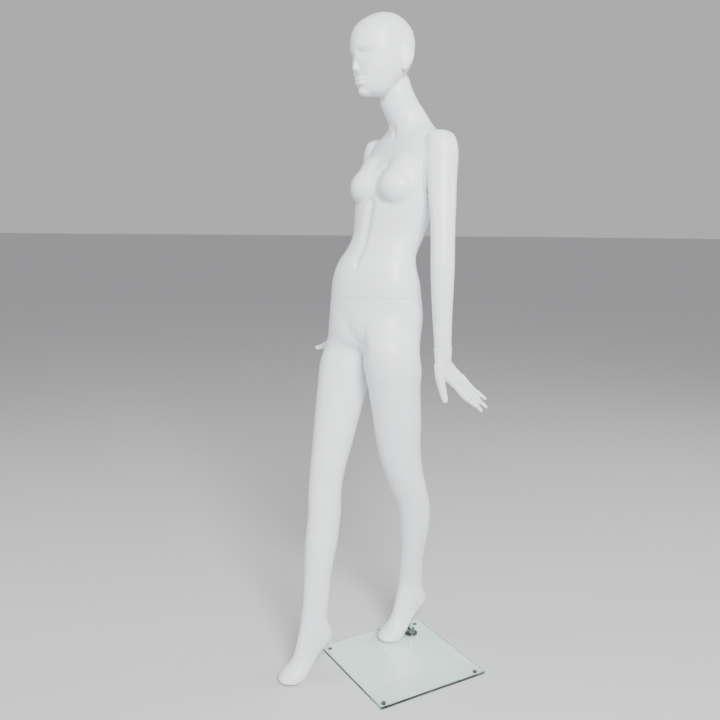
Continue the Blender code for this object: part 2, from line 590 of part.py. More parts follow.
def socket(name, frame, outer, parts):
    """The tube that the post goes into, on its flange above the upper plate."""
    bore = POST_RADIUS + FIT
    over = PLATE + GAP
    top = POST_HIGH + 0.004
    profile = [(outer, top), (outer, over + FLANGE_PLY), (COUPLING_FLANGE, over + FLANGE_PLY),
               (COUPLING_FLANGE, over), (outer, over), (outer, GAP), (bore, GAP), (bore, top)]
    sleeve = turned(f"{name}_socket", parts, profile, frame, ring=True)
    finish(sleeve, "zinc steel")
    return sleeve


def coupling_screws(name, frame, plate, metal, parts, cutters):
    """Two pan-head screws through the metal flange into its plate."""
    seam_up = Matrix.Rotation(math.pi, 4, "X") if name.endswith("lower") else Matrix()
    face = PLATE + FLANGE_PLY + 2 * GAP
    for number, side in ((1, -1), (2, 1)):
        place = frame @ Matrix.Translation((0, side * SCREW_OFFSET, 0)) @ seam_up
        profile = [(0, face + 0.0022), (0.0034, face + 0.0022), (0.0040, face), (SCREW_RADIUS, face),
                   (SCREW_RADIUS, 0.003), (0, 0.002)]
        finish(turned(f"{name}_screw_{number}", parts, profile, place, sides=10), "zinc steel")
        bore = cylinder(f"cut_{name}_screw_{number}", cutters, SCREW_RADIUS + FIT, 0.001, 0.02, place, 10)
        boolean(plate, bore)
        boolean(metal, bore)


def keyhole_plate(side, frame, parts, cutters):
    """The torso's shoulder plate, with a slot that opens into a round mouth above it."""
    plate = slab(f"{side}_shoulder_keyhole_plate", parts, frame, -PLATE - GAP / 2, -GAP / 2)
    inset = WALL + PLATE_ROOM
    mould = loft(f"cut_{side}_keyhole_plate", cutters, TORSO[:-2], inset=inset, columns=INNER_COLUMNS)
    boolean(plate, mould, "INTERSECT")
    slot = STUD_RADIUS + 0.0006
    middle = frame @ Matrix.Translation((0, UNHOOK / 2 + 0.0007, 0))
    boolean(plate, box(f"cut_{side}_slot", cutters, (2 * slot, UNHOOK, 0.06), middle))
    for name, radius, up in (("seat", slot + 0.0002, 0.0), ("mouth", STUD_HEAD + 0.0015, UNHOOK)):
        place = frame @ Matrix.Translation((0, up, 0))
        hole = cylinder(f"cut_{side}_keyhole_{name}", cutters, radius, -0.026, 0.025, place)
        boolean(plate, hole, solver="MANIFOLD")
    finish(plate, "zinc steel")


def shoulder_fittings(side, arm_sections, parts, cutters):
    """Keyhole plate in the torso, plate in the arm, and the headed stud between them."""
    frame = shoulder_frame(side)
    keyhole_plate(side, frame, parts, cutters)
    plate = slab(f"{side}_arm_top_plate", parts, frame, GAP / 2, PLATE + GAP / 2)
    inset = WALL + PLATE_ROOM
    mould = loft(f"cut_{side}_arm_plate", cutters, arm_sections[2:], inset=inset, columns=INNER_COLUMNS)
    boolean(plate, mould, "INTERSECT")
    boolean(plate, cylinder(f"cut_{side}_stud_hole", cutters, STUD_RADIUS + FIT, -0.03, 0.03, frame))
    finish(plate, "birch ply")
    back = PLATE + 2 * GAP
    head = -PLATE - 0.0012
    profile = [(0, back + FLANGE_PLY), (0.013, back + FLANGE_PLY), (0.013, back), (STUD_RADIUS, back),
               (STUD_RADIUS, head), (STUD_HEAD, head), (STUD_HEAD, head - 0.003), (0, head - 0.003)]
    finish(turned(f"{side}_arm_lock_stud", parts, profile, frame), "zinc steel")


def wrist_fittings(side, parts):
    frame = wrist_frame(side)
    bore = PEG_RADIUS + FIT
    sleeve = tube(f"{side}_wrist_socket", parts, bore, bore + 0.0022, GAP, PEG_HALF + 0.002, frame, sides=16)
    finish(sleeve, "zinc steel")
    peg = cylinder(f"{side}_hand_peg", parts, PEG_RADIUS, -PEG_HALF, PEG_HALF, frame, sides=16)
    finish(peg, "zinc steel")


def leg_sockets(parts):
    """The closed tube in the sole for the base rod, and the spare one in the calf."""
    bore = ROD_RADIUS + 0.0003
    cap = SOCKET_TOP - 0.003
    profile = [(0, SOCKET_TOP), (TUBE_RADIUS, SOCKET_TOP), (TUBE_RADIUS, SOCKET_BOTTOM),
               (bore, SOCKET_BOTTOM), (bore, cap), (0, cap)]
    finish(turned("foot_rod_socket", parts, profile, ROD_FRAME), "zinc steel")
    finish(tube("calf_rod_socket", parts, bore, TUBE_RADIUS, *CALF_TUBE, CALF_FRAME), "zinc steel")


# ---------------------------------------------------------------- base
def glass_base(parts, cutters):
    centre = Matrix.Translation((*GLASS_CENTRE, BUMPER_HIGH + GLASS_THICK / 2))
    glass = box("glass_base", parts, (GLASS_SIDE, GLASS_SIDE, GLASS_THICK), centre)
    bevel = glass.modifiers.new("ground edge", "BEVEL")
    bevel.width = 0.0012
    bevel.segments = 2
    boolean(glass, cylinder("cut_bolt_hole", cutters, BOLT_RADIUS + FIT, -0.01, 0.03, ROD_FRAME))
    finish(glass, "clear glass")


def bumpers(parts):
    """Four low round pads under the corners of the glass."""
    reach = GLASS_SIDE / 2 - BUMPER_INSET
    top = BUMPER_HIGH - GAP
    profile = [(0, top), (BUMPER_RADIUS, top), (BUMPER_RADIUS, 0.0012), (BUMPER_RADIUS * 0.8, 0), (0, 0)]
    for end, along in (("front", -1), ("back", 1)):
        for side, across in SIDES.items():
            place = (GLASS_CENTRE[0] + across * reach, GLASS_CENTRE[1] + along * reach, 0)
            pad = turned(f"bumper_{end}_{side}", parts, profile, Matrix.Translation(place), sides=16)
            finish(pad, "black rubber")


def base_fittings(parts, cutters):
    """Gasket, flange, rod and set screw above the glass; washer and bolt below it."""
    bolt_bore = BOLT_RADIUS + FIT
    rod_bore = ROD_RADIUS + 0.0003
    seat = FLANGE_SEAT
    floor = seat + BASE_FLANGE_THICK
    top = seat + BOSS_HIGH
    low = GLASS_TOP + GAP
    gasket = tube("flange_gasket", parts, bolt_bore, BASE_FLANGE_RADIUS, low, low + GASKET, ROD_FRAME)
    finish(gasket, "black rubber")
    profile = [(BOSS_RADIUS, top), (BOSS_RADIUS, seat + 0.007), (BOSS_RADIUS + 0.002, seat + 0.005),
               (BASE_FLANGE_RADIUS, seat + 0.003), (BASE_FLANGE_RADIUS, seat), (bolt_bore, seat),
               (bolt_bore, floor), (rod_bore, floor), (rod_bore, top)]
    flange = turned("base_flange", parts, profile, ROD_FRAME, sides=28, ring=True)
    boolean(flange, cylinder("cut_set_screw", cutters, 0.0024, 0.004, 0.02, SET_SCREW_FRAME, 10))
    finish(flange, "chrome")
    rod_top = SOCKET_TOP - 0.003 - GAP
    rod = cylinder("support_rod", parts, ROD_RADIUS, floor + GAP, rod_top, ROD_FRAME, sides=24)
    finish(rod, "chrome")
    face = BOSS_RADIUS + 0.001
    profile = [(0, face + 0.0035), (0.0036, face + 0.0035), (0.0036, face), (SCREW_RADIUS, face),
               (SCREW_RADIUS, ROD_RADIUS + GAP), (0, ROD_RADIUS + GAP)]
    finish(turned("flange_set_screw", parts, profile, SET_SCREW_FRAME, sides=10), "chrome")
    washer_top = BUMPER_HIGH - GAP
    washer_low = washer_top - 0.0008
    washer = tube("under_washer", parts, bolt_bore, 0.011, washer_low, washer_top, ROD_FRAME)
    finish(washer, "zinc steel")
    head = washer_low - GAP
    profile = [(0, floor - GAP), (BOLT_RADIUS, floor - GAP), (BOLT_RADIUS, head), (0.008, head),
               (0.008, head - 0.0022), (0, head - 0.0022)]
    finish(turned("base_bolt", parts, profile, ROD_FRAME), "zinc steel")


# ---------------------------------------------------------------- the moving units
def gather(name, frame, parts, prefixes):
    """Hang the pieces of one moving unit on an empty that stands on its joint."""
    empty = bpy.data.objects.new(name, None)
    empty.empty_display_size = 0.05
    empty.matrix_world = frame
    parts.objects.link(empty)
    for obj in list(parts.objects):
        if obj.type == "MESH" and obj.name.startswith(prefixes):
            obj.parent = empty
            obj.matrix_parent_inverse = frame.inverted()
    return empty


def moving_units(parts):
    gather("base_unit", Matrix(), parts, ("glass", "bumper", "flange_gasket", "base_", "under_"))
    gather("set_screw_unit", SET_SCREW_FRAME, parts, ("flange_set",))
    gather("rod_unit", ROD_FRAME, parts, ("support_rod",))
    gather("hips_unit", ROD_FRAME, parts, ("hips", "foot_", "calf_", "waist_lower", "waist_spigot",
                                           "waist_locating", "thigh_upper", "thigh_socket"))
    gather("torso_unit", WAIST_FRAME, parts, ("torso", "waist_upper", "waist_socket",
                                              "left_shoulder", "right_shoulder"))
    gather("right_leg_unit", THIGH_FRAME, parts, ("right_leg", "thigh_lower", "thigh_spigot", "thigh_locating"))
    for side in SIDES:
        gather(f"{side}_arm_unit", shoulder_frame(side), parts, (f"{side}_arm", f"{side}_wrist"))
        gather(f"{side}_hand_unit", wrist_frame(side), parts, (f"{side}_hand",))


def main():
    clear_scene()
    parts = collection("full_body_mannequin")
    cutters = collection("cutters")
    torso_head_shell(parts, cutters)
    hips_left_leg_shell(parts, cutters)
    right_leg_shell(parts, cutters)
    for side, sections in (("left", LEFT_ARM), ("right", RIGHT_ARM)):
        arm_shell(side, sections, parts, cutters)
        hand(side, parts, cutters)
        shoulder_fittings(side, sections, parts, cutters)
        wrist_fittings(side, parts)
    coupling("waist", WAIST_FRAME, PELVIS, TORSO[:-2], parts, cutters)
    coupling("thigh", THIGH_FRAME, RIGHT_LEG, RIGHT_LEG, parts, cutters)
    leg_sockets(parts)
    glass_base(parts, cutters)
    bumpers(parts)
    base_fittings(parts, cutters)
    moving_units(parts)


main()
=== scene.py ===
"""Full body display mannequin on a square glass base: the painted shells with their sculpted
surface, the fittings inside the seams, the glass base with its rod, and a plain studio stage.

Metres, +Z up. The figure looks along -Y and its left side is +X.
"""

import math

import bmesh
import bpy
import numpy as np
from mathutils import Matrix, Vector


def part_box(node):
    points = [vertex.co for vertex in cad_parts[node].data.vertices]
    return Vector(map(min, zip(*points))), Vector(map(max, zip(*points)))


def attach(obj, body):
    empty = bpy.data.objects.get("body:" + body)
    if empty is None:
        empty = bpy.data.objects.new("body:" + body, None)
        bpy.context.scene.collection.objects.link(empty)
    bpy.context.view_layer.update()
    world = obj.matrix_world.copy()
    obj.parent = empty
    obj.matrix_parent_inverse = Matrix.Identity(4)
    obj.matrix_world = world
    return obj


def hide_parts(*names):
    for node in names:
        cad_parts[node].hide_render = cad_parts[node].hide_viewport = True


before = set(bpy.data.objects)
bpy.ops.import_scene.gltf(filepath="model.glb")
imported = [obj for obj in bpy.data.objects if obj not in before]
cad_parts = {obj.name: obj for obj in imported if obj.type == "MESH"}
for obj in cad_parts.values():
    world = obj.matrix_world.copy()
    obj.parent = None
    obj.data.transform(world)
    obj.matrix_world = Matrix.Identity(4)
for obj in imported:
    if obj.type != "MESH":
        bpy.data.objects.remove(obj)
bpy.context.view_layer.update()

bl_info = {
    "name": "Display Mannequin",
    "version": (1, 0, 0),
    "blender": (4, 5, 0),
    "location": "View3D > Sidebar > Mannequin",
    "description": "Builds a full body display mannequin over its packed frame",
    "category": "Object",
}

# ------------------------------------------------------------------ seams and fittings
WALL = 0.004  # the shells' thickness
GAP = 0.0003  # between pieces that touch
FIT = 0.0004  # round a pin in its bore
LIP = 0.0010  # softened edge of a shell at its seam
SEAM_CLEAR = 0.0012  # kept between a seam and the skin's own points
ON_SEAM = 0.0001
PLATE = 0.008
WAIST_Z = 1.075
WAIST_CENTRE = (0.0, 0.036)
CHEST_YAW = 3
CHEST_CENTRE = Vector((0.0, 0.130, 1.436))
SHOULDER_SEAM = 0.127
SEAM_REACH = 0.16  # how far a shoulder seam is scored round its centre, short of the waist
THIGH_POINT = Vector((-0.080, 0.000, 0.912))
THIGH_NORMAL = Vector((0.16, 0.25, 1.0)).normalized()
WRIST_PLACE = {"left": (0.204, 0.118, 0.953), "right": (-0.220, 0.056, 0.998)}
WRIST_LEAN = {"left": 0, "right": -21}
HAND_BEND = {"left": 36, "right": 0}
PALM_PIVOT = (0.0, 0.002, -0.046)
SIDES = {"left": 1, "right": -1}

POST_RADIUS = 0.0125
POST_HIGH = 0.048
COUPLING_FLANGE = 0.030
FLANGE_PLY = 0.003
SOCKET_WALL = 0.003
PIN_RADIUS = 0.004
PIN_OFFSET = 0.042
SCREW_RADIUS = 0.002
SCREW_OFFSET = 0.024
STUD_RADIUS = 0.004
STUD_HEAD = 0.0085
PEG_RADIUS = 0.005
PEG_HALF = 0.024

GLASS_LOW, GLASS_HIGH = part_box("glass_base")
ROD_LOW, ROD_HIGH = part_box("support_rod")
ROD_PLACE = ((ROD_LOW.x + ROD_HIGH.x) / 2, (ROD_LOW.y + ROD_HIGH.y) / 2)
ROD_RADIUS = 0.00635
SOCKET_BOTTOM = 0.072
SOCKET_TOP = 0.205
TUBE_RADIUS = 0.0085
BASE_FLANGE_RADIUS = 0.020
BOSS_RADIUS = 0.0105
BOSS_HIGH = 0.017
SET_SCREW_UP = 0.0125  # above the flange's seat
BOLT_RADIUS = 0.004
BOLT_HEAD = 0.008
WASHER_RADIUS = 0.011
FLANGE_SEAT = GLASS_HIGH.z + 0.001 + 2 * GAP
CALF_MOUTH = (-0.003, 0.2205, 0.328)
CALF_SLANT = math.radians(21)
CALF_TUBE = (0.026, 0.075)

# ------------------------------------------------------------------ sections of the figure
# A section: centre (x, y, z), yaw and tilt in degrees, half width, reach to the
# front, reach to the back, and squareness (2 is an ellipse).
PELVIS = [
    (0.000, 0.032, 1.100, 27, 0, 0.130, 0.082, 0.092, 2.2),
    (0.000, 0.032, 1.060, 29, 0, 0.133, 0.081, 0.096, 2.2),
    (0.000, 0.031, 1.020, 30, 0, 0.136, 0.080, 0.098, 2.2),
]
TORSO = [
    (0.000, 0.032, 1.060, 29, 0, 0.133, 0.081, 0.096, 2.2),
    (0.000, 0.032, 1.110, 27, 0, 0.129, 0.082, 0.090, 2.2),
    (0.000, 0.032, 1.140, 26, 0, 0.122, 0.078, 0.083, 2.2),
    (0.000, 0.037, 1.170, 24, 0, 0.1135, 0.073, 0.074, 2.2),
    (0.000, 0.052, 1.200, 22, 0, 0.1075, 0.067, 0.067, 2.2),
    (0.000, 0.068, 1.230, 20, 0, 0.108, 0.069, 0.067, 2.2),
    (0.000, 0.078, 1.260, 17, 0, 0.1135, 0.075, 0.070, 2.2),
    (0.000, 0.087, 1.300, 14, 0, 0.122, 0.082, 0.075, 2.2),
    (0.000, 0.096, 1.340, 11, 0, 0.130, 0.084, 0.078, 2.2),
    (0.000, 0.105, 1.380, 8, 0, 0.137, 0.083, 0.080, 2.2),
    (0.000, 0.115, 1.420, 5, 0, 0.142, 0.076, 0.078, 2.2),
    (0.000, 0.124, 1.450, 3, 0, 0.145, 0.067, 0.072, 2.3),
    (0.000, 0.130, 1.475, 3, 0, 0.144, 0.057, 0.062, 2.4),
    (0.000, 0.133, 1.492, 3, 0, 0.136, 0.050, 0.055, 2.3),
    (0.000, 0.134, 1.506, 3, 2, 0.118, 0.045, 0.051, 2.2),
    (0.000, 0.133, 1.520, 3, 8, 0.094, 0.044, 0.051, 2.1),
    (0.000, 0.126, 1.545, 2, 25, 0.062, 0.046, 0.053, 2.0),
    (0.000, 0.109, 1.573, 1, 33, 0.048, 0.046, 0.051, 2.0),
    (0.000, 0.093, 1.599, 0, 33, 0.0455, 0.047, 0.050, 2.0),
    (0.000, 0.081, 1.628, 0, 25, 0.044, 0.047, 0.049, 2.0),
    (0.000, 0.075, 1.655, 0, 10, 0.036, 0.038, 0.044, 2.0),
]
HEAD = [
    (0.000, 0.020, 1.6005, 0, 0, 0.018, 0.018, 0.020, 2.0),
    (0.000, 0.022, 1.607, 0, 0, 0.034, 0.034, 0.036, 2.0),
    (0.000, 0.028, 1.620, 0, 0, 0.046, 0.050, 0.048, 2.0),
    (0.000, 0.036, 1.640, 0, 0, 0.057, 0.064, 0.056, 2.0),
    (0.000, 0.044, 1.660, 0, 0, 0.065, 0.076, 0.064, 2.1),
    (0.000, 0.048, 1.685, 0, 0, 0.070, 0.084, 0.076, 2.1),
    (0.000, 0.048, 1.710, 0, 0, 0.073, 0.090, 0.084, 2.1),
    (0.000, 0.048, 1.735, 0, 0, 0.074, 0.090, 0.086, 2.1),
    (0.000, 0.048, 1.760, 0, 0, 0.071, 0.085, 0.081, 2.1),
    (0.000, 0.048, 1.783, 0, 0, 0.061, 0.069, 0.066, 2.1),
    (0.000, 0.049, 1.799, 0, 0, 0.045, 0.046, 0.045, 2.1),
    (0.000, 0.049, 1.808, 0, 0, 0.027, 0.026, 0.026, 2.1),
    (0.000, 0.049, 1.811, 0, 0, 0.010, 0.010, 0.010, 2.0),
]
LEFT_LEG = [
    (0.078, 0.034, 0.940, 30, 0, 0.074, 0.074, 0.080, 2.1),
    (0.078, 0.043, 0.890, 30, 0, 0.077, 0.078, 0.081, 2.1),
    (0.073, 0.054, 0.820, 25, 0, 0.069, 0.072, 0.073, 2.1),
    (0.062, 0.071, 0.740, 20, 0, 0.066, 0.070, 0.070, 2.0),
    (0.051, 0.085, 0.660, 15, 0, 0.060, 0.064, 0.064, 2.0),
    (0.041, 0.107, 0.580, 10, 0, 0.055, 0.060, 0.058, 2.0),
    (0.033, 0.133, 0.520, 5, 0, 0.051, 0.056, 0.053, 2.0),
    (0.023, 0.157, 0.460, 0, 0, 0.047, 0.050, 0.050, 2.0),
    (0.012, 0.169, 0.400, 0, 0, 0.044, 0.045, 0.048, 2.0),
    (-0.001, 0.177, 0.340, 0, 0, 0.038, 0.040, 0.042, 2.0),
    (-0.015, 0.182, 0.280, 0, 0, 0.033, 0.036, 0.036, 2.0),
    (-0.027, 0.187, 0.225, 0, 0, 0.030, 0.035, 0.035, 2.0),
]
RIGHT_LEG = [
    (-0.078, 0.006, 0.940, 30, 0, 0.074, 0.074, 0.078, 2.1),
    (-0.079, -0.008, 0.890, 30, 0, 0.077, 0.076, 0.079, 2.1),
    (-0.074, -0.027, 0.820, 22, 0, 0.070, 0.072, 0.073, 2.1),
    (-0.065, -0.048, 0.740, 15, 0, 0.063, 0.067, 0.067, 2.0),
    (-0.055, -0.069, 0.660, 10, 0, 0.055, 0.059, 0.059, 2.0),
    (-0.046, -0.090, 0.580, 5, 0, 0.048, 0.052, 0.050, 2.0),
    (-0.038, -0.101, 0.520, 0, 0, 0.044, 0.049, 0.046, 2.0),
    (-0.031, -0.109, 0.460, 0, 0, 0.044, 0.046, 0.049, 2.0),
    (-0.024, -0.121, 0.400, 0, 0, 0.044, 0.045, 0.050, 2.0),
    (-0.017, -0.132, 0.340, 0, 0, 0.040, 0.042, 0.045, 2.0),
    (-0.010, -0.142, 0.280, 0, 0, 0.035, 0.038, 0.040, 2.0),
    (-0.003, -0.151, 0.225, 0, 0, 0.031, 0.035, 0.036, 2.0),
]
# The raised foot, seen from the ball of its own sole: sideways, backwards, up.
FOOT = [
    (0.000, 0.0430, 0.1660, 0, 0, 0.029, 0.0385, 0.0385, 2.0),
    (0.000, 0.0445, 0.1300, 0, -2, 0.029, 0.0470, 0.0470, 2.1),
    (0.000, 0.0425, 0.1070, 0, -3, 0.028, 0.0515, 0.0515, 2.1),
    (0.000, 0.0325, 0.0870, 0, -3, 0.027, 0.0475, 0.0475, 2.1),
    (0.000, 0.0195, 0.0680, 0, -3, 0.028, 0.0405, 0.0405, 2.1),
    (0.000, 0.0055, 0.0510, 0, -3, 0.030, 0.0370, 0.0370, 2.1),
    (0.000, -0.0075, 0.0370, 0, -5, 0.033, 0.0370, 0.0370, 2.2),
    (0.000, -0.0185, 0.0255, 0, -10, 0.035, 0.0370, 0.0370, 2.2),
    (0.000, -0.0290, 0.0150, 0, -16, 0.035, 0.0345, 0.0345, 2.2),
    (0.000, -0.0385, 0.0110, 0, -20, 0.033, 0.0275, 0.0275, 2.2),
    (0.000, -0.0500, 0.0100, 0, -24, 0.027, 0.0185, 0.0185, 2.2),
    (0.000, -0.0620, 0.0095, 0, -26, 0.015, 0.0090, 0.0090, 2.0),
]
SOLE_LOW = 0.0016
GLASS_TOP = GLASS_HIGH.z
FOOT_PLACE = {
    "left": (-0.037, 0.151, GLASS_TOP + GAP - SOLE_LOW),
    "right": (0.003, -0.200, GAP - SOLE_LOW),
}
FOOT_YAW = {"left": 4, "right": 6}
LEFT_ARM = [
    (0.137, 0.136, 1.509, 3, 0, 0.016, 0.016, 0.016, 2.0),
    (0.139, 0.138, 1.502, 3, 0, 0.032, 0.030, 0.031, 2.0),
    (0.142, 0.139, 1.485, 3, 0, 0.041, 0.039, 0.040, 2.0),
    (0.146, 0.139, 1.455, 3, 0, 0.0445, 0.043, 0.044, 2.0),
    (0.151, 0.137, 1.420, 3, 0, 0.042, 0.042, 0.043, 2.0),
    (0.159, 0.133, 1.380, 3, 0, 0.038, 0.039, 0.040, 2.0),
    (0.175, 0.126, 1.320, 5, 0, 0.0345, 0.036, 0.036, 2.0),
    (0.190, 0.118, 1.260, 8, 0, 0.0315, 0.0325, 0.0325, 2.0),
    (0.197, 0.114, 1.220, 10, 0, 0.031, 0.032, 0.032, 2.0),
    (0.201, 0.112, 1.180, 13, 0, 0.031, 0.032, 0.032, 2.0),
    (0.204, 0.111, 1.120, 13, 0, 0.0295, 0.0305, 0.0305, 2.0),
    (0.205, 0.112, 1.050, 10, 0, 0.0265, 0.027, 0.027, 2.0),
    (0.205, 0.115, 0.990, 5, 0, 0.0235, 0.0245, 0.0245, 2.0),
    (0.204, 0.118, 0.953, 0, 0, 0.0215, 0.0230, 0.0230, 2.0),
]
RIGHT_ARM = [
    (-0.137, 0.122, 1.509, 3, 0, 0.016, 0.016, 0.016, 2.0),
    (-0.139, 0.123, 1.502, 3, 0, 0.032, 0.030, 0.031, 2.0),
    (-0.142, 0.124, 1.485, 3, 0, 0.041, 0.039, 0.040, 2.0),
    (-0.146, 0.125, 1.455, 3, 0, 0.0445, 0.043, 0.044, 2.0),
    (-0.151, 0.126, 1.420, 3, 3, 0.042, 0.042, 0.043, 2.0),
    (-0.160, 0.130, 1.380, 3, 6, 0.038, 0.039, 0.040, 2.0),
    (-0.180, 0.139, 1.320, 3, 8, 0.0345, 0.036, 0.036, 2.0),
    (-0.200, 0.147, 1.275, 2, 4, 0.0315, 0.0325, 0.0325, 2.0),
    (-0.212, 0.148, 1.238, 0, -4, 0.031, 0.033, 0.032, 2.0),
    (-0.217, 0.138, 1.195, 0, -14, 0.031, 0.032, 0.032, 2.0),
    (-0.220, 0.116, 1.140, 0, -20, 0.0295, 0.0305, 0.0305, 2.0),
    (-0.221, 0.088, 1.075, 0, -21, 0.0260, 0.0265, 0.0265, 2.0),
    (-0.220, 0.056, 0.998, 0, -21, 0.0215, 0.0230, 0.0230, 2.0),
]
# The hand hangs from its wrist seam: outwards, backwards, up.
CUFF = [
    (0.000, 0.000, -GAP, 0, 0, 0.0225, 0.0240, 0.0240, 2.0),
    (0.000, 0.001, -0.025, 0, 0, 0.0205, 0.0232, 0.0232, 2.0),
    (0.000, 0.002, -0.050, 0, 0, 0.0170, 0.0222, 0.0222, 2.0),
]
PALM = [
    (0.000, 0.000, 0.014, 0, 0, 0.0160, 0.0180, 0.0180, 2.1),
    (0.000, 0.000, 0.000, 0, 0, 0.0165, 0.0215, 0.0225, 2.1),
    (0.001, 0.000, -0.025, 0, 0, 0.0140, 0.0230, 0.0255, 2.2),
    (0.004, 0.004, -0.052, 0, 0, 0.0115, 0.0220, 0.0250, 2.3),
    (0.006, 0.008, -0.074, 0, 0, 0.0095, 0.0210, 0.0235, 2.4),
    (0.007, 0.010, -0.084, 0, 0, 0.0060, 0.0180, 0.0200, 2.3),
]
# Each digit: its joints from the palm to the tip, and its half thickness at each.
DIGITS = {
    "index": [(0.006, -0.005, -0.066, 0.0082), (0.012, -0.002, -0.110, 0.0075),
              (0.016, 0.006, -0.138, 0.0067), (0.018, 0.011, -0.157, 0.0050)],
    "middle": [(0.006, 0.007, -0.068, 0.0080), (0.014, 0.0095, -0.118, 0.0073),
               (0.019, 0.0125, -0.150, 0.0065), (0.021, 0.0155, -0.175, 0.0048)],
    "ring": [(0.006, 0.017, -0.066, 0.0078), (0.015, 0.020, -0.116, 0.0070),
             (0.020, 0.026, -0.148, 0.0063), (0.023, 0.0325, -0.176, 0.0047)],
    "little": [(0.005, 0.0255, -0.062, 0.0070), (0.014, 0.0295, -0.106, 0.0062),
               (0.020, 0.0370, -0.134, 0.0056), (0.023, 0.0430, -0.155, 0.0043)],
}


# ------------------------------------------------------------------ smooth lofts
def eased(stations, values, wanted):
    """Values between the stations, on a curve that never overshoots them."""
    steps = np.diff(stations)
    slopes = np.diff(values, axis=0) / steps[:, None]
    tangents = np.zeros_like(values)
    for k in range(1, len(stations) - 1):
        near = 2 * steps[k] + steps[k - 1]
        far = steps[k] + 2 * steps[k - 1]
        same = slopes[k - 1] * slopes[k] > 0
        tangents[k][same] = (near + far) / (near / slopes[k - 1][same] + far / slopes[k][same])
    tangents[0], tangents[-1] = slopes[0], slopes[-1]
    k = np.clip(np.searchsorted(stations, wanted, side="right") - 1, 0, len(stations) - 2)
    u = ((wanted - stations[k]) / steps[k])[:, None]
    h = steps[k][:, None]
    start = (1 + 2 * u) * (1 - u) ** 2 * values[k] + u * (1 - u) ** 2 * h * tangents[k]
    return start + u * u * (3 - 2 * u) * values[k + 1] + u * u * (u - 1) * h * tangents[k + 1]


def section_rings(sections, spacing, columns):
    """Rings of points through the sections, a spacing apart."""
    table = np.array(sections, float)
    moved = np.linalg.norm(np.diff(table[:, :3], axis=0), axis=1)
    along = np.concatenate([[0], np.cumsum(moved + 0.25 * np.abs(np.diff(table[:, 5])))])
    wanted = np.linspace(0, along[-1], max(8, int(along[-1] / spacing)))
    angles = np.linspace(0, math.tau, columns, endpoint=False)
    cosines, sines = np.cos(angles), np.sin(angles)
    rings = []
    for x, y, z, yaw, tilt, width, front, back, square in eased(along, table, wanted):
        across = width * np.sign(cosines) * np.abs(cosines) ** (2 / square)
        deep = np.where(sines < 0, front, back) * np.sign(sines) * np.abs(sines) ** (2 / square)
        yaw, tilt = math.radians(yaw), math.radians(tilt)
        level = deep * math.cos(tilt)
        rings.append(np.stack([
            x + across * math.cos(yaw) - level * math.sin(yaw),
            y + across * math.sin(yaw) + level * math.cos(yaw),
            z + deep * math.sin(tilt),
        ], axis=1))
    return rings


def add_rings(bm, rings, matrix):
    """Close a stack of rings into one solid of the mesh."""
    rows = [[bm.verts.new(matrix @ Vector(point)) for point in ring] for ring in rings]
    for lower, upper in zip(rows, rows[1:]):
        for step in range(len(lower)):
            after = (step + 1) % len(lower)
            bm.faces.new((lower[step], lower[after], upper[after], upper[step]))
    bm.faces.new(rows[0])
    bm.faces.new(rows[-1])


def add_loft(bm, sections, matrix=Matrix(), spacing=0.005, columns=72):
    add_rings(bm, section_rings(sections, spacing, columns), matrix)


def add_form(bm, centre, sizes, turn=0, lean=0):
    """A rounded form: centre, then half sizes across, forward and up, turned about Z."""
    place = Matrix.Translation(centre) @ Matrix.Rotation(math.radians(turn), 4, "Z")
    place = place @ Matrix.Rotation(math.radians(lean), 4, "X")
    place = place @ Matrix.Diagonal((*sizes, 1))
    bmesh.ops.create_icosphere(bm, subdivisions=4, radius=1, matrix=place)


def add_tube(bm, joints, matrix, columns=24):
    """A tapered round limb through (x, y, z, radius) joints, rounded at both ends."""
    table = np.array(joints, float)
    along = np.concatenate([[0], np.cumsum(np.linalg.norm(np.diff(table[:, :3], axis=0), axis=1))])
    path = eased(along, table, np.linspace(0, along[-1], 24))
    for x, y, z, radius in (path[0], path[-1]):
        ball = matrix @ Matrix.Translation((x, y, z)) @ Matrix.Diagonal((radius, radius, radius, 1))
        bmesh.ops.create_icosphere(bm, subdivisions=3, radius=1, matrix=ball)
    rings = []
    for step, (x, y, z, radius) in enumerate(path):
        ahead = path[min(step + 1, len(path) - 1)] - path[max(step - 1, 0)]
        turn = Vector((0, 0, -1)).rotation_difference(Vector(ahead[:3]))
        circle = [Vector((radius * math.cos(a), radius * math.sin(a), 0))
                  for a in np.linspace(0, math.tau, columns, endpoint=False)]
        rings.append([Vector((x, y, z)) + turn @ point for point in circle])
    add_rings(bm, rings, matrix)


def add_turned(bm, profile, matrix=Matrix(), ring=False, columns=48):
    """A piece turned about Z from (radius, height) points; a third number makes that ring a polygon."""
    rows = []
    for radius, height, *sides in profile:
        row = []
        for step in range(1 if radius == 0 else columns):
            angle = math.tau * step / columns
            reach = radius
            if sides:
                sector = math.tau / sides[0]
                reach = radius / math.cos((angle % sector) - sector / 2)
            point = Vector((reach * math.cos(angle), reach * math.sin(angle), height))
            row.append(bm.verts.new(matrix @ point))
        rows.append(row)
    pairs = list(zip(rows, rows[1:])) + ([(rows[-1], rows[0])] if ring else [])
    faces = []
    for first, second in pairs:
        for step in range(columns):
            after = (step + 1) % columns
            corners = [first[step % len(first)], first[after % len(first)],
                       second[after % len(second)], second[step % len(second)]]
            faces.append(bm.faces.new(list(dict.fromkeys(corners))))
    bmesh.ops.recalc_face_normals(bm, faces=faces)


def shown(mesh, name):
    obj = bpy.data.objects.new(name, mesh)
    bpy.context.scene.collection.objects.link(obj)
    return obj


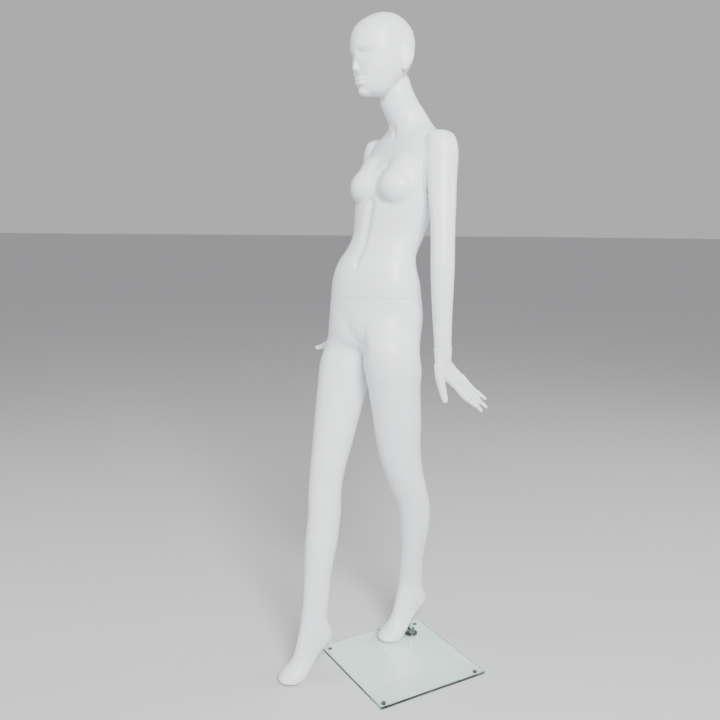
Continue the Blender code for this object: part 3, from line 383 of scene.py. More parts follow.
def applied(obj):
    """The object's mesh with its modifiers applied; the object itself goes."""
    bpy.context.view_layer.update()
    evaluated = obj.evaluated_get(bpy.context.evaluated_depsgraph_get())
    mesh = bpy.data.meshes.new_from_object(evaluated)
    bpy.data.objects.remove(obj)
    return mesh


def skinned(bm, name, voxel):
    """One even skin over overlapping solids."""
    bmesh.ops.recalc_face_normals(bm, faces=bm.faces)
    mesh = bpy.data.meshes.new(name)
    bm.to_mesh(mesh)
    bm.free()
    obj = shown(mesh, name)
    remesh = obj.modifiers.new("skin", "REMESH")
    remesh.mode = "VOXEL"
    remesh.voxel_size = voxel * 1.0
    return applied(obj)


def bored(mesh, name, radius, low, high, matrix):
    """The mesh with a round hole along the matrix's own Z."""
    bm = bmesh.new()
    add_turned(bm, [(0, high), (radius, high), (radius, low), (0, low)], matrix)
    bar_mesh = bpy.data.meshes.new(f"{name}_bar")
    bm.to_mesh(bar_mesh)
    bm.free()
    bar = shown(bar_mesh, f"{name}_bar")
    obj = shown(mesh, name)
    cut = obj.modifiers.new("bore", "BOOLEAN")
    cut.solver = "MANIFOLD"
    cut.object = bar
    result = applied(obj)
    bpy.data.objects.remove(bar)
    return result


class Clay:
    """The points and normals of a skin while it is being shaped."""

    def __init__(self, mesh):
        self.mesh = mesh
        count = len(mesh.vertices)
        self.points = np.zeros(count * 3)
        mesh.vertices.foreach_get("co", self.points)
        self.points = self.points.reshape(-1, 3)
        ends = np.zeros(len(mesh.edges) * 2, dtype=np.int32)
        mesh.edges.foreach_get("vertices", ends)
        self.ends = ends.reshape(-1, 2)
        self.degree = np.bincount(ends, minlength=count)
        self.refresh()

    def refresh(self):
        """Write the points back and read the normals again."""
        self.mesh.vertices.foreach_set("co", self.points.ravel())
        self.mesh.update()
        normals = np.zeros(len(self.points) * 3)
        self.mesh.vertices.foreach_get("normal", normals)
        self.normals = normals.reshape(-1, 3)

    def relax(self, rounds, share=1.0):
        """Even the surface out; share says how much each point takes part."""
        first, second = self.ends[:, 0], self.ends[:, 1]
        count = len(self.points)
        share = 0.5 * np.broadcast_to(share, count)[:, None] / self.degree[:, None]
        for _ in range(rounds):
            near = np.stack([
                np.bincount(first, self.points[second, axis], count)
                + np.bincount(second, self.points[first, axis], count) for axis in range(3)
            ], axis=1)
            self.points += share * (near - self.degree[:, None] * self.points)
        self.refresh()

    def swell(self, centre, sizes, amount, turn=0):
        """Raise, or with a negative amount press in, a soft oval patch."""
        local = self.points - np.array(centre)
        turn = math.radians(turn)
        across = local[:, 0] * math.cos(turn) + local[:, 1] * math.sin(turn)
        deep = local[:, 1] * math.cos(turn) - local[:, 0] * math.sin(turn)
        local = np.stack([across, deep, local[:, 2]], axis=1) / np.array(sizes)
        self.points += (amount * np.exp(-np.sum(local * local, axis=1)))[:, None] * self.normals

    def crease(self, path, width, depth, fade=0):
        """Press a soft groove, or with a negative depth raise a ridge, along a path.

        The groove comes up from nothing over its first few steps, as many as fade says.
        """
        nearest = np.full(len(self.points), 9.0)
        passed = np.zeros(len(self.points))
        for step, (start, end) in enumerate(zip(path, path[1:])):
            start = np.array(start)
            run = np.array(end) - start
            share = np.clip((self.points - start) @ run / (run @ run), 0, 1)
            away = np.linalg.norm(self.points - start - share[:, None] * run, axis=1)
            passed = np.where(away < nearest, step + share, passed)
            nearest = np.minimum(nearest, away)
        if fade:
            depth = depth * np.clip(passed / fade, 0, 1)
        self.points -= (depth * np.exp(-(nearest / width) ** 2))[:, None] * self.normals


def finer(mesh, low, high):
    """The mesh with its faces between two corners of a box split in four."""
    bm = bmesh.new()
    bm.from_mesh(mesh)
    low, high = np.array(low), np.array(high)
    inside = {vert for vert in bm.verts
              if np.all(np.array(vert.co) > low) and np.all(np.array(vert.co) < high)}
    edges = [edge for edge in bm.edges if inside.issuperset(edge.verts)]
    bmesh.ops.subdivide_edges(bm, edges=edges, cuts=1, use_grid_fill=True)
    result = bpy.data.meshes.new(mesh.name)
    bm.to_mesh(result)
    bm.free()
    return result


# ------------------------------------------------------------------ cutting the figure at its seams
def opened(mesh):
    bm = bmesh.new()
    bm.from_mesh(mesh)
    return bm


def scored(bm, point, normal, reach=1.0):
    """Cut edges into the mesh along a seam, kept clear of the points beside it."""
    point, normal = Vector(point), Vector(normal).normalized()
    near = {vert for vert in bm.verts if (vert.co - point).length < reach}
    for vert in near:
        height = (vert.co - point).dot(normal)
        if abs(height) < SEAM_CLEAR:
            vert.co -= normal * (height - math.copysign(SEAM_CLEAR, height))
    edges = [edge for edge in bm.edges if near.issuperset(edge.verts)]
    faces = [face for face in bm.faces if near.issuperset(face.verts)]
    bmesh.ops.bisect_plane(bm, geom=[*near, *edges, *faces], plane_co=point, plane_no=normal)


def cut_off(bm, point, normal):
    """Remove what lies on the normal's side of a seam and leave the edge open."""
    scored(bm, point, normal)
    point, normal = Vector(point), Vector(normal).normalized()
    beyond = [vert for vert in bm.verts if (vert.co - point).dot(normal) > ON_SEAM / 2]
    bmesh.ops.delete(bm, geom=beyond, context="VERTS")


def flooded(seed, allowed):
    """The points reached from a seed through points that are allowed."""
    found = {seed}
    queue = [seed]
    while queue:
        vert = queue.pop()
        for edge in vert.link_edges:
            other = edge.other_vert(vert)
            if other not in found and allowed(other):
                found.add(other)
                queue.append(other)
    return found


def keep_main(bm):
    """Drop loose crumbs left by a cut."""
    left = set(bm.verts)
    islands = []
    while left:
        island = flooded(next(iter(left)), lambda vert: True)
        islands.append(island)
        left -= island
    islands.sort(key=len)
    for crumb in islands[:-1]:
        bmesh.ops.delete(bm, geom=list(crumb), context="VERTS")


def rim(bm, point, normal, bore=None, deep=0.012):
    """Close in an open seam edge: a soft lip, the flat end of the shell and a short inner wall.

    The normal points out of the piece. With a bore, the flat end reaches in to that radius.
    """
    bm.normal_update()
    point, normal = Vector(point), Vector(normal).normalized()
    edges = [edge for edge in bm.edges if edge.is_boundary
             and all(abs((vert.co - point).dot(normal)) < ON_SEAM for vert in edge.verts)]
    levels = {}
    for vert in {vert for edge in edges for vert in edge.verts}:
        outward = vert.normal - normal * vert.normal.dot(normal)
        centre_way = (point - vert.co).normalized()
        inward = -outward.normalized() if outward.length > 0.1 else centre_way
        edge_point = vert.co.copy()
        if bore is None:
            end = edge_point + inward * WALL
        else:
            end = point - centre_way * bore
        vert.co -= normal * LIP
        levels[vert] = [vert, *(bm.verts.new(co) for co in (
            edge_point + inward * LIP, end, end - normal * deep))]
    for edge in edges:
        loop = edge.link_loops[0]
        after, before = levels[loop.vert], levels[loop.link_loop_next.vert]
        for step in range(3):
            bm.faces.new((before[step], after[step], after[step + 1], before[step + 1]))


def piece(bm, name, body, slot, nodes, *materials, sharp=40):
    """Show a finished mesh as a piece that moves with its body and stands for its CAD nodes."""
    mesh = bpy.data.meshes.new(name)
    bm.to_mesh(mesh)
    bm.free()
    mesh.shade_smooth()
    mesh.set_sharp_from_angle(angle=math.radians(sharp))
    for material in materials:
        mesh.materials.append(material)
    obj = shown(mesh, name)
    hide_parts(*nodes)
    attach(obj, body)
    return obj


# ------------------------------------------------------------------ frames of the seams
CHEST_SIDE = Matrix.Rotation(math.radians(CHEST_YAW), 3, "Z") @ Vector((1, 0, 0))


def plane_frame(point, normal):
    """A frame on a seam: Z along its normal."""
    turn = Vector((0, 0, 1)).rotation_difference(Vector(normal)).to_matrix().to_4x4()
    return Matrix.Translation(point) @ turn


WAIST_FRAME = Matrix.Translation((*WAIST_CENTRE, WAIST_Z))
THIGH_FRAME = plane_frame(THIGH_POINT, THIGH_NORMAL)
ROD_FRAME = Matrix.Translation((*ROD_PLACE, 0.0))
CALF_FRAME = plane_frame(CALF_MOUTH, (0.0, -math.sin(CALF_SLANT), math.cos(CALF_SLANT)))
SET_SCREW_PLACE = Matrix.Translation((0, 0, FLANGE_SEAT + SET_SCREW_UP))
SET_SCREW_FRAME = ROD_FRAME @ SET_SCREW_PLACE @ Matrix.Rotation(math.pi / 2, 4, "X")


def wrist_frame(side):
    lean = Matrix.Rotation(math.radians(WRIST_LEAN[side]), 4, "X")
    return Matrix.Translation(WRIST_PLACE[side]) @ lean


def shoulder_frame(side):
    """The shoulder seam's frame: Z outwards along the seam's normal, Y up."""
    out = CHEST_SIDE * SIDES[side]
    up = Vector((0, 0, 1))
    turn = Matrix((up.cross(out), up, out)).transposed().to_4x4()
    return Matrix.Translation(CHEST_CENTRE + out * SHOULDER_SEAM) @ turn


def foot_sections(side):
    """The foot's sections set down at its own place, for the end of a leg."""
    turn = Matrix.Rotation(math.radians(FOOT_YAW[side]), 3, "Z")
    sections = []
    for x, y, z, yaw, tilt, *rest in FOOT:
        centre = Vector(FOOT_PLACE[side]) + turn @ Vector((x, y, z))
        sections.append((*centre, yaw + FOOT_YAW[side], tilt, *rest))
    return sections


# ------------------------------------------------------------------ materials
class Nodes:
    """A material's node tree, with the few steps that the finishes share."""

    def __init__(self, name):
        self.material = bpy.data.materials.new(name)
        self.material.use_nodes = True
        self.tree = self.material.node_tree
        self.shader = self.tree.nodes["Principled BSDF"]
        self.output = self.tree.nodes["Material Output"]
        self.place = self.tree.nodes.new("ShaderNodeTexCoord").outputs["Object"]

    def new(self, kind, **values):
        node = self.tree.nodes.new(kind)
        for key, value in values.items():
            setattr(node, key, value)
        return node

    def link(self, start, end):
        self.tree.links.new(start, end)

    def set(self, **values):
        for key, value in values.items():
            self.shader.inputs[key.replace("_", " ")].default_value = value

    def stretched(self, scale, turn=(0, 0, 0)):
        mapping = self.new("ShaderNodeMapping")
        mapping.inputs["Scale"].default_value = scale
        mapping.inputs["Rotation"].default_value = turn
        self.link(self.place, mapping.inputs["Vector"])
        return mapping.outputs["Vector"]

    def noise(self, scale, detail=3.0, rough=0.5, where=None, distortion=0.0):
        node = self.new("ShaderNodeTexNoise")
        node.inputs["Scale"].default_value = scale
        node.inputs["Detail"].default_value = detail
        node.inputs["Roughness"].default_value = rough
        node.inputs["Distortion"].default_value = distortion
        self.link(where or self.place, node.inputs["Vector"])
        return node.outputs["Fac"]

    def spread(self, value, low, high, start=0.3, end=0.7):
        """The value spread over a range, for a roughness or a height."""
        node = self.new("ShaderNodeMapRange")
        node.inputs["From Min"].default_value = start
        node.inputs["From Max"].default_value = end
        node.inputs["To Min"].default_value = low
        node.inputs["To Max"].default_value = high
        self.link(value, node.inputs["Value"])
        return node.outputs["Result"]

    def ramp(self, value, *stops):
        node = self.new("ShaderNodeValToRGB")
        elements = node.color_ramp.elements
        while len(elements) < len(stops):
            elements.new(0.5)
        for element, (position, colour) in zip(elements, stops):
            element.position = position
            element.color = (*colour, 1.0)
        self.link(value, node.inputs["Fac"])
        return node.outputs["Color"]

    def bump(self, height, strength, distance, under=None):
        node = self.new("ShaderNodeBump")
        node.inputs["Strength"].default_value = strength
        node.inputs["Distance"].default_value = distance
        self.link(height, node.inputs["Height"])
        if under is not None:
            self.link(under, node.inputs["Normal"])
        return node.outputs["Normal"]

    def drive(self, socket, name):
        self.link(socket, self.shader.inputs[name])


def sprayed_white(figure):
    """Cool white satin paint over glass fibre: faint orange peel and slow waves in the sheen."""
    nodes = Nodes("sprayed_white")
    tint = tuple(figure.paint)
    shade = tuple(channel * 0.965 for channel in tint)
    clouds = nodes.noise(9.0, 4.0, 0.55)
    nodes.drive(nodes.ramp(clouds, (0.35, shade), (0.65, tint)), "Base Color")
    streaks = nodes.noise(38.0, 4.0, 0.6)
    nodes.drive(nodes.spread(streaks, figure.sheen - 0.05, figure.sheen + 0.06), "Roughness")
    waves = nodes.bump(nodes.noise(55.0, 2.0), 0.10, 0.0006)
    peel = nodes.bump(nodes.noise(900.0, 2.0, 0.6), 0.10, 0.00015, waves)
    nodes.drive(peel, "Normal")
    nodes.set(Coat_Weight=0.12, Coat_Roughness=0.28, IOR=1.47)
    return nodes.material


def birch_ply():
    """Sawn birch plywood: long grain, fine pores and a few darker streaks."""
    nodes = Nodes("birch_ply")
    along = nodes.stretched((3.0, 60.0, 30.0))
    grain = nodes.noise(6.0, 6.0, 0.62, along, 1.4)
    pores = nodes.noise(70.0, 3.0, 0.7, along)
    colour = nodes.ramp(
        grain, (0.25, (0.42, 0.27, 0.13)), (0.5, (0.60, 0.43, 0.25)), (0.8, (0.71, 0.55, 0.35)))
    nodes.drive(colour, "Base Color")
    nodes.drive(nodes.spread(pores, 0.52, 0.78), "Roughness")
    fibres = nodes.bump(pores, 0.35, 0.0003)
    nodes.drive(nodes.bump(grain, 0.25, 0.0006, fibres), "Normal")
    return nodes.material


def bright_zinc():
    """Zinc-plated steel: crystalline patches, fine turning marks and dulled spots."""
    nodes = Nodes("bright_zinc")
    cells = nodes.new("ShaderNodeTexVoronoi", feature="F1")
    cells.inputs["Scale"].default_value = 320.0
    nodes.link(nodes.place, cells.inputs["Vector"])
    patch = nodes.new("ShaderNodeSeparateColor")
    nodes.link(cells.outputs["Color"], patch.inputs["Color"])
    colour = nodes.ramp(patch.outputs["Red"], (0.1, (0.50, 0.51, 0.52)), (0.9, (0.66, 0.67, 0.68)))
    nodes.drive(colour, "Base Color")
    nodes.drive(nodes.spread(nodes.noise(140.0, 5.0, 0.65), 0.24, 0.46), "Roughness")
    marks = nodes.noise(20.0, 2.0, 0.5, nodes.stretched((2.0, 2.0, 220.0)))
    nodes.drive(nodes.bump(marks, 0.12, 0.0001), "Normal")
    nodes.set(Metallic=1.0)
    return nodes.material


def chrome_plate(base):
    """Polished chrome: near mirror, with hairline rub marks and a few fingerprints' haze."""
    nodes = Nodes("chrome_plate")
    haze = nodes.noise(30.0, 4.0, 0.6)
    nodes.drive(nodes.ramp(haze, (0.3, (0.60, 0.61, 0.63)), (0.7, (0.72, 0.73, 0.75))), "Base Color")
    rubs = nodes.noise(60.0, 5.0, 0.7, nodes.stretched((1.0, 1.0, 12.0)), 0.4)
    nodes.drive(nodes.spread(rubs, base.chrome_sheen, base.chrome_sheen + 0.09), "Roughness")
    nodes.drive(nodes.bump(rubs, 0.04, ON_SEAM / 2), "Normal")
    nodes.set(Metallic=1.0)
    return nodes.material


def smoked_chrome():
    """Plated steel with a painted dark reflection: its dark colour stands in for a dark room mirrored in
    it, as a deep mirror with fine turning rings and dulled spots.
    """
    nodes = Nodes("smoked_chrome")
    haze = nodes.noise(80.0, 4.0, 0.6)
    # Painted reflection: the dark base colour stands in for the dark surroundings mirrored in the chrome.
    nodes.drive(nodes.ramp(haze, (0.3, (0.13, 0.13, 0.14)), (0.7, (0.22, 0.22, 0.23))), "Base Color")
    nodes.drive(nodes.spread(haze, 0.08, 0.20), "Roughness")
    rings = nodes.noise(30.0, 2.0, 0.5, nodes.stretched((1.0, 1.0, 60.0)))
    nodes.drive(nodes.bump(rings, 0.06, ON_SEAM / 2), "Normal")
    nodes.set(Metallic=1.0)
    return nodes.material


def black_rubber():
    """Matt moulded rubber with a fine grain and greyed high spots."""
    nodes = Nodes("black_rubber")
    grain = nodes.noise(500.0, 3.0, 0.6)
    worn = nodes.noise(60.0, 4.0)
    colour = nodes.ramp(worn, (0.3, (0.014, 0.014, 0.015)), (0.8, (0.045, 0.045, 0.046)))
    nodes.drive(colour, "Base Color")
    nodes.drive(nodes.spread(grain, 0.62, 0.85), "Roughness")
    nodes.drive(nodes.bump(grain, 0.3, 0.0002), "Normal")
    return nodes.material


def lamps_pass(nodes, colour):
    """Let lamp light through the glass, so that what stands under it is lit."""
    clear = nodes.new("ShaderNodeBsdfTransparent")
    clear.inputs["Color"].default_value = (*colour, 1.0)
    path = nodes.new("ShaderNodeLightPath")
    mix = nodes.new("ShaderNodeMixShader")
    nodes.link(path.outputs["Is Shadow Ray"], mix.inputs["Fac"])
    nodes.link(nodes.shader.outputs["BSDF"], mix.inputs[1])
    nodes.link(clear.outputs["BSDF"], mix.inputs[2])
    nodes.link(mix.outputs["Shader"], nodes.output.inputs["Surface"])


def float_glass(base):
    """Clear float glass with a soda-green body, faint smears and dust."""
    nodes = Nodes("float_glass")
    nodes.set(Base_Color=(0.94, 0.985, 0.965, 1.0), IOR=1.52, Transmission_Weight=1.0)
    smears = nodes.noise(7.0, 6.0, 0.7, nodes.stretched((1.0, 2.4, 1.0), (0, 0, 0.5)), 1.1)
    nodes.drive(nodes.spread(smears, 0.015, 0.11, 0.45, 0.8), "Roughness")
    lamps_pass(nodes, (0.90, 0.96, 0.94))
    body = nodes.new("ShaderNodeVolumeAbsorption")
    body.inputs["Color"].default_value = (*base.glass_tint, 1.0)
    body.inputs["Density"].default_value = base.glass_density
    nodes.link(body.outputs["Volume"], nodes.output.inputs["Volume"])
    return nodes.material


def ground_glass(base):
    """The ground and polished edge of the glass, where its green shows."""
    nodes = Nodes("ground_glass")
    tint = tuple(0.35 + 0.65 * channel for channel in base.glass_tint)
    nodes.set(Base_Color=(*tint, 1.0), IOR=1.52, Transmission_Weight=1.0)
    lines = nodes.noise(24.0, 3.0, 0.6, nodes.stretched((1.0, 1.0, 60.0)))
    nodes.drive(nodes.spread(lines, 0.18, 0.36), "Roughness")
    nodes.drive(nodes.bump(lines, 0.15, 0.0002), "Normal")
    lamps_pass(nodes, tint)
    return nodes.material


def studio_floor(stage):
    """A pale seamless floor with a hardly visible unevenness."""
    nodes = Nodes("studio_floor")
    pale = tuple(stage.floor_colour)
    dull = tuple(channel * 0.985 for channel in pale)
    nodes.drive(nodes.ramp(nodes.noise(1.1, 5.0), (0.3, dull), (0.7, pale)), "Base Color")
    nodes.drive(nodes.spread(nodes.noise(14.0, 4.0), 0.55, 0.65), "Roughness")
    nodes.set(Specular_IOR_Level=0.25)
    return nodes.material


def finish(maker, *settings):
    """A finish is made once and shared by the pieces that have it."""
    return bpy.data.materials.get(maker.__name__) or maker(*settings)


# ------------------------------------------------------------------ sizes and colours
class MannequinFigure(bpy.types.PropertyGroup):
    paint: bpy.props.FloatVectorProperty(
        name="Paint", description="Colour of the sprayed finish", subtype="COLOR",
        size=3, default=(0.80, 0.825, 0.845), min=0, max=1)
    sheen: bpy.props.FloatProperty(
        name="Paint roughness", description="Roughness of the satin finish",
        default=0.42, min=0.1, max=0.9)
    body_grain: bpy.props.FloatProperty(
        name="Body mesh size", description="Spacing of the points on torso and arms",
        default=0.0024, min=0.002, max=0.02, unit="LENGTH")
    leg_grain: bpy.props.FloatProperty(
        name="Leg mesh size", description="Spacing of the points on hips and legs",
        default=0.0028, min=0.002, max=0.02, unit="LENGTH")
    hand_grain: bpy.props.FloatProperty(
        name="Hand mesh size", description="Spacing of the points on the hands",
        default=0.0013, min=0.001, max=0.01, unit="LENGTH")


class MannequinBase(bpy.types.PropertyGroup):
    glass_tint: bpy.props.FloatVectorProperty(
        name="Glass tint", description="What the glass lets through", subtype="COLOR",
        size=3, default=(0.45, 0.86, 0.74), min=0, max=1)
    glass_density: bpy.props.FloatProperty(
        name="Glass density", description="How fast the tint builds up inside the glass",
        default=9.0, min=0, max=60)
    corner: bpy.props.FloatProperty(
        name="Corner radius", description="Rounding of the sheet's upright corners",
        default=0.003, min=0.0005, max=0.02, unit="LENGTH")
    edge: bpy.props.FloatProperty(
        name="Ground edge", description="Width of the arris ground along the sheet's edges",
        default=0.0012, min=0.0002, max=0.003, unit="LENGTH")
    chrome_sheen: bpy.props.FloatProperty(
        name="Chrome roughness", description="Lowest roughness of the plated pieces",
        default=0.06, min=0.0, max=0.5)


class MannequinStage(bpy.types.PropertyGroup):
    floor_colour: bpy.props.FloatVectorProperty(
        name="Floor", description="Colour of the floor", subtype="COLOR",
        size=3, default=(0.60, 0.60, 0.61), min=0, max=1)
    sky: bpy.props.FloatVectorProperty(
        name="Surround", description="Colour of the soft light all round", subtype="COLOR",
        size=3, default=(0.70, 0.70, 0.715), min=0, max=1)
    sky_strength: bpy.props.FloatProperty(
        name="Surround strength", description="Brightness of the light all round",
        default=0.75, min=0, max=10)
    key: bpy.props.FloatProperty(
        name="Key lamp", description="Power of the lamp at the figure's left",
        default=300.0, min=0, unit="POWER")
    fill: bpy.props.FloatProperty(
        name="Fill lamps", description="Power of each of the front and back lamps",
        default=55.0, min=0, unit="POWER")


class MannequinOperator:
    """What all the operators share."""
    bl_options = {"REGISTER", "UNDO"}


# ------------------------------------------------------------------ the figure
# The nose, from its root down to its underside.
NOSE = [
    (0.000, -0.026, 1.716, 0, 0, 0.0040, 0.0060, 0.010, 2.0),
    (0.000, -0.026, 1.704, 0, 0, 0.0050, 0.0095, 0.012, 2.0),
    (0.000, -0.026, 1.688, 0, 0, 0.0065, 0.0125, 0.014, 2.0),
    (0.000, -0.026, 1.674, 0, 0, 0.0085, 0.0160, 0.014, 2.0),
    (0.000, -0.026, 1.665, 0, 0, 0.0110, 0.0180, 0.014, 2.0),
    (0.000, -0.026, 1.659, 0, 0, 0.0105, 0.0140, 0.012, 2.0),
    (0.000, -0.026, 1.656, 0, 0, 0.0065, 0.0070, 0.008, 2.0),
]
# Lips and chin: centre, half sizes, turn and lean.
FACE_FORMS = [
    ((0.000, -0.0210, 1.6385), (0.0235, 0.0125, 0.0056), 0, 0),
    ((0.000, -0.0200, 1.6287), (0.0205, 0.0118, 0.0066), 0, 0),
    ((0.000, -0.0040, 1.6110), (0.0200, 0.0190, 0.0130), 0, 0),
]
# Two forms to each breast: centre, half sizes, turn and lean.
CHEST_FORMS = [
    ((0.066, 0.063, 1.367), (0.055, 0.056, 0.054), 0, 0),
    ((-0.052, 0.044, 1.367), (0.055, 0.056, 0.054), 0, 0),
    ((0.064, 0.074, 1.395), (0.050, 0.042, 0.060), 0, 0),
    ((-0.052, 0.056, 1.395), (0.050, 0.042, 0.060), 0, 0),
]


def trunk_mesh(figure):
    """Torso, neck, head and both arms as one skin, from below the waist to the wrists."""
    bm = bmesh.new()
    add_loft(bm, PELVIS[2:] + TORSO, columns=120)
    add_loft(bm, HEAD, spacing=0.003, columns=96)
    left_end = (0.204, 0.1195, 0.925, 0, 0, 0.0210, 0.0225, 0.0225, 2.0)
    right_end = (-0.2195, 0.045, 0.972, 0, -21, 0.0210, 0.0225, 0.0225, 2.0)
    add_loft(bm, LEFT_ARM + [left_end])
    add_loft(bm, RIGHT_ARM + [right_end])
    add_loft(bm, NOSE, spacing=0.001, columns=40)
    for sign in SIDES.values():
        add_loft(bm, ear_sections(sign), spacing=0.001, columns=40)
    for centre, sizes, turn, lean in CHEST_FORMS + FACE_FORMS:
        add_form(bm, centre, sizes, turn, lean)
    return skinned(bm, "trunk", figure.body_grain)


def ear_sections(sign):
    """A flat ear from its lobe to its top, standing off the head towards the back."""
    side = 0.0735 * sign
    turn = -16 * sign
    return [
        (side - 0.003 * sign, 0.0700, 1.6605, turn, 0, 0.0040, 0.004, 0.004, 2.0),
        (side - 0.001 * sign, 0.0710, 1.6690, turn, 0, 0.0050, 0.010, 0.010, 2.0),
        (side, 0.0735, 1.6880, turn, 0, 0.0055, 0.017, 0.018, 2.0),
        (side, 0.0745, 1.7060, turn, 0, 0.0055, 0.019, 0.020, 2.0),
        (side - 0.001 * sign, 0.0725, 1.7190, turn, 0, 0.0050, 0.014, 0.016, 2.0),
        (side - 0.002 * sign, 0.0700, 1.7250, turn, 0, 0.0032, 0.007, 0.007, 2.0),
    ]


# Boxes in which the trunk's mesh is twice as fine: face, ears and navel.
FINE_ZONES = (
    ((-0.090, -0.080, 1.595), (0.090, 0.004, 1.730)),
    ((0.054, 0.040, 1.650), (0.095, 0.110, 1.735)),
    ((-0.095, 0.040, 1.650), (-0.054, 0.110, 1.735)),
    ((-0.015, -0.070, 1.135), (0.055, -0.015, 1.185)),
)


def shape_trunk(mesh):
    """Even out the joins of the trunk and work the face, chest and belly into it."""
    clay = Clay(mesh)
    head = 1 / (1 + np.exp(-(clay.points[:, 2] - 1.598) / 0.004))
    clay.relax(26, 1 - head)
    clay.relax(3, head)
    for low, high in FINE_ZONES:
        mesh = finer(mesh, low, high)
    clay = Clay(mesh)
    clay.relax(2)
    shape_face(clay)
    shape_chest(clay)
    return mesh


# Creases and ridges as paths; those of the face and neck are given for the left side.
MOUTH_LINE = [(-0.023, -0.0185, 1.6340), (-0.011, -0.0275, 1.6345), (0.000, -0.0305, 1.6338),
              (0.011, -0.0275, 1.6345), (0.023, -0.0185, 1.6340)]
NOSE_WING = [(0.0125, -0.030, 1.6690), (0.0140, -0.029, 1.6620), (0.0105, -0.029, 1.6570)]
JAW_EDGE = [(0.000, 0.041, 1.5940), (0.030, 0.050, 1.5990), (0.047, 0.066, 1.6230)]
EAR_BACK = [(0.0640, 0.0960, 1.7040), (0.0610, 0.0920, 1.6850),
            (0.0600, 0.0830, 1.6690), (0.0640, 0.0710, 1.6600)]
LEFT_BREAST_FOLD = [(0.035, 0.045, 1.425), (0.012, 0.035, 1.408), (0.005, 0.022, 1.382),
                    (0.018, 0.016, 1.352), (0.044, 0.018, 1.329), (0.074, 0.028, 1.323)]
RIGHT_BREAST_FOLD = [(0.008, 0.014, 1.352), (-0.017, 0.008, 1.329),
                     (-0.062, 0.011, 1.323), (-0.096, 0.029, 1.335)]
BELLY_LINE = [(0.012, 0.008, 1.325), (0.009, 0.005, 1.295), (0.002, -0.001, 1.250),
              (0.004, -0.013, 1.210), (0.013, -0.037, 1.170)]
NAVEL = [(0.0140, -0.0375, 1.1660), (0.0175, -0.0395, 1.1530)]
NECK_TENDON = [(0.009, 0.088, 1.506), (0.020, 0.0855, 1.530)]
COLLAR_BONE = [(0.018, 0.089, 1.506), (0.060, 0.099, 1.506), (0.096, 0.116, 1.508)]


def both_sides(path):
    """A path on the left half of the head or neck, and its mirror image."""
    return [[(x * sign, y, z) for x, y, z in path] for sign in SIDES.values()]


# Soft forms of the face: centre, reach and height; those of the sides for the left one.
FACE_SIDE_FORMS = (
    ((0.032, -0.026, 1.7000), (0.020, 0.020, 0.0100), -0.0060),  # hollow of the eye
    ((0.0175, -0.034, 1.7030), (0.0080, 0.014, 0.0085), -0.0035),  # beside the root of the nose
    ((0.030, -0.028, 1.7165), (0.018, 0.020, 0.0070), 0.0009),  # brow
    ((0.044, -0.012, 1.6740), (0.018, 0.024, 0.0140), 0.0016),  # cheek bone
    ((0.050, -0.002, 1.6450), (0.014, 0.030, 0.0160), -0.0012),  # hollow of the cheek
)
FACE_MIDDLE_FORMS = (
    ((0.0, -0.031, 1.6500), (0.0060, 0.012, 0.0050), -0.0012),  # groove under the nose
    ((0.0, -0.024, 1.6185), (0.0150, 0.012, 0.0036), -0.0022),  # under the lower lip
    ((0.0, -0.022, 1.6080), (0.0130, 0.014, 0.0080), 0.0012),  # chin
)


def shape_face(clay):
    for sign in SIDES.values():
        for (x, y, z), reach, height in FACE_SIDE_FORMS:
            clay.swell((x * sign, y, z), reach, height)
    clay.refresh()
    for centre, reach, height in FACE_MIDDLE_FORMS:
        clay.swell(centre, reach, height)
    clay.refresh()
    clay.crease(MOUTH_LINE, 0.0017, 0.0030)
    for wing in both_sides(NOSE_WING):
        clay.crease(wing, 0.0024, 0.0020)
    for side in both_sides(JAW_EDGE):
        clay.crease(side, 0.0100, 0.0040)
    for side in both_sides(EAR_BACK):
        clay.crease(side, 0.0040, 0.0035)
    clay.refresh()


def shape_chest(clay):
    points = clay.points
    slope = np.exp(-((points[:, 2] - 1.430) / 0.032) ** 2) / (1 + np.exp((points[:, 1] - 0.11) / 0.01))
    clay.relax(130, slope)
    clay.crease(LEFT_BREAST_FOLD, 0.0075, 0.0034)
    clay.crease(LEFT_BREAST_FOLD[:5], 0.0050, 0.0026)
    clay.crease(RIGHT_BREAST_FOLD, 0.0075, 0.0028)
    clay.refresh()
    clay.crease(BELLY_LINE, 0.0120, 0.0060)
    clay.refresh()
    clay.crease(NAVEL, 0.0048, 0.0085)
    clay.swell((0.0, 0.087, 1.5030), (0.0085, 0.020, 0.0090), -0.0036)
    for side in both_sides(NECK_TENDON):
        clay.crease(side, 0.0060, -0.0026)
    for side in both_sides(COLLAR_BONE):
        clay.crease(side, 0.0080, -0.0020)
    clay.refresh()


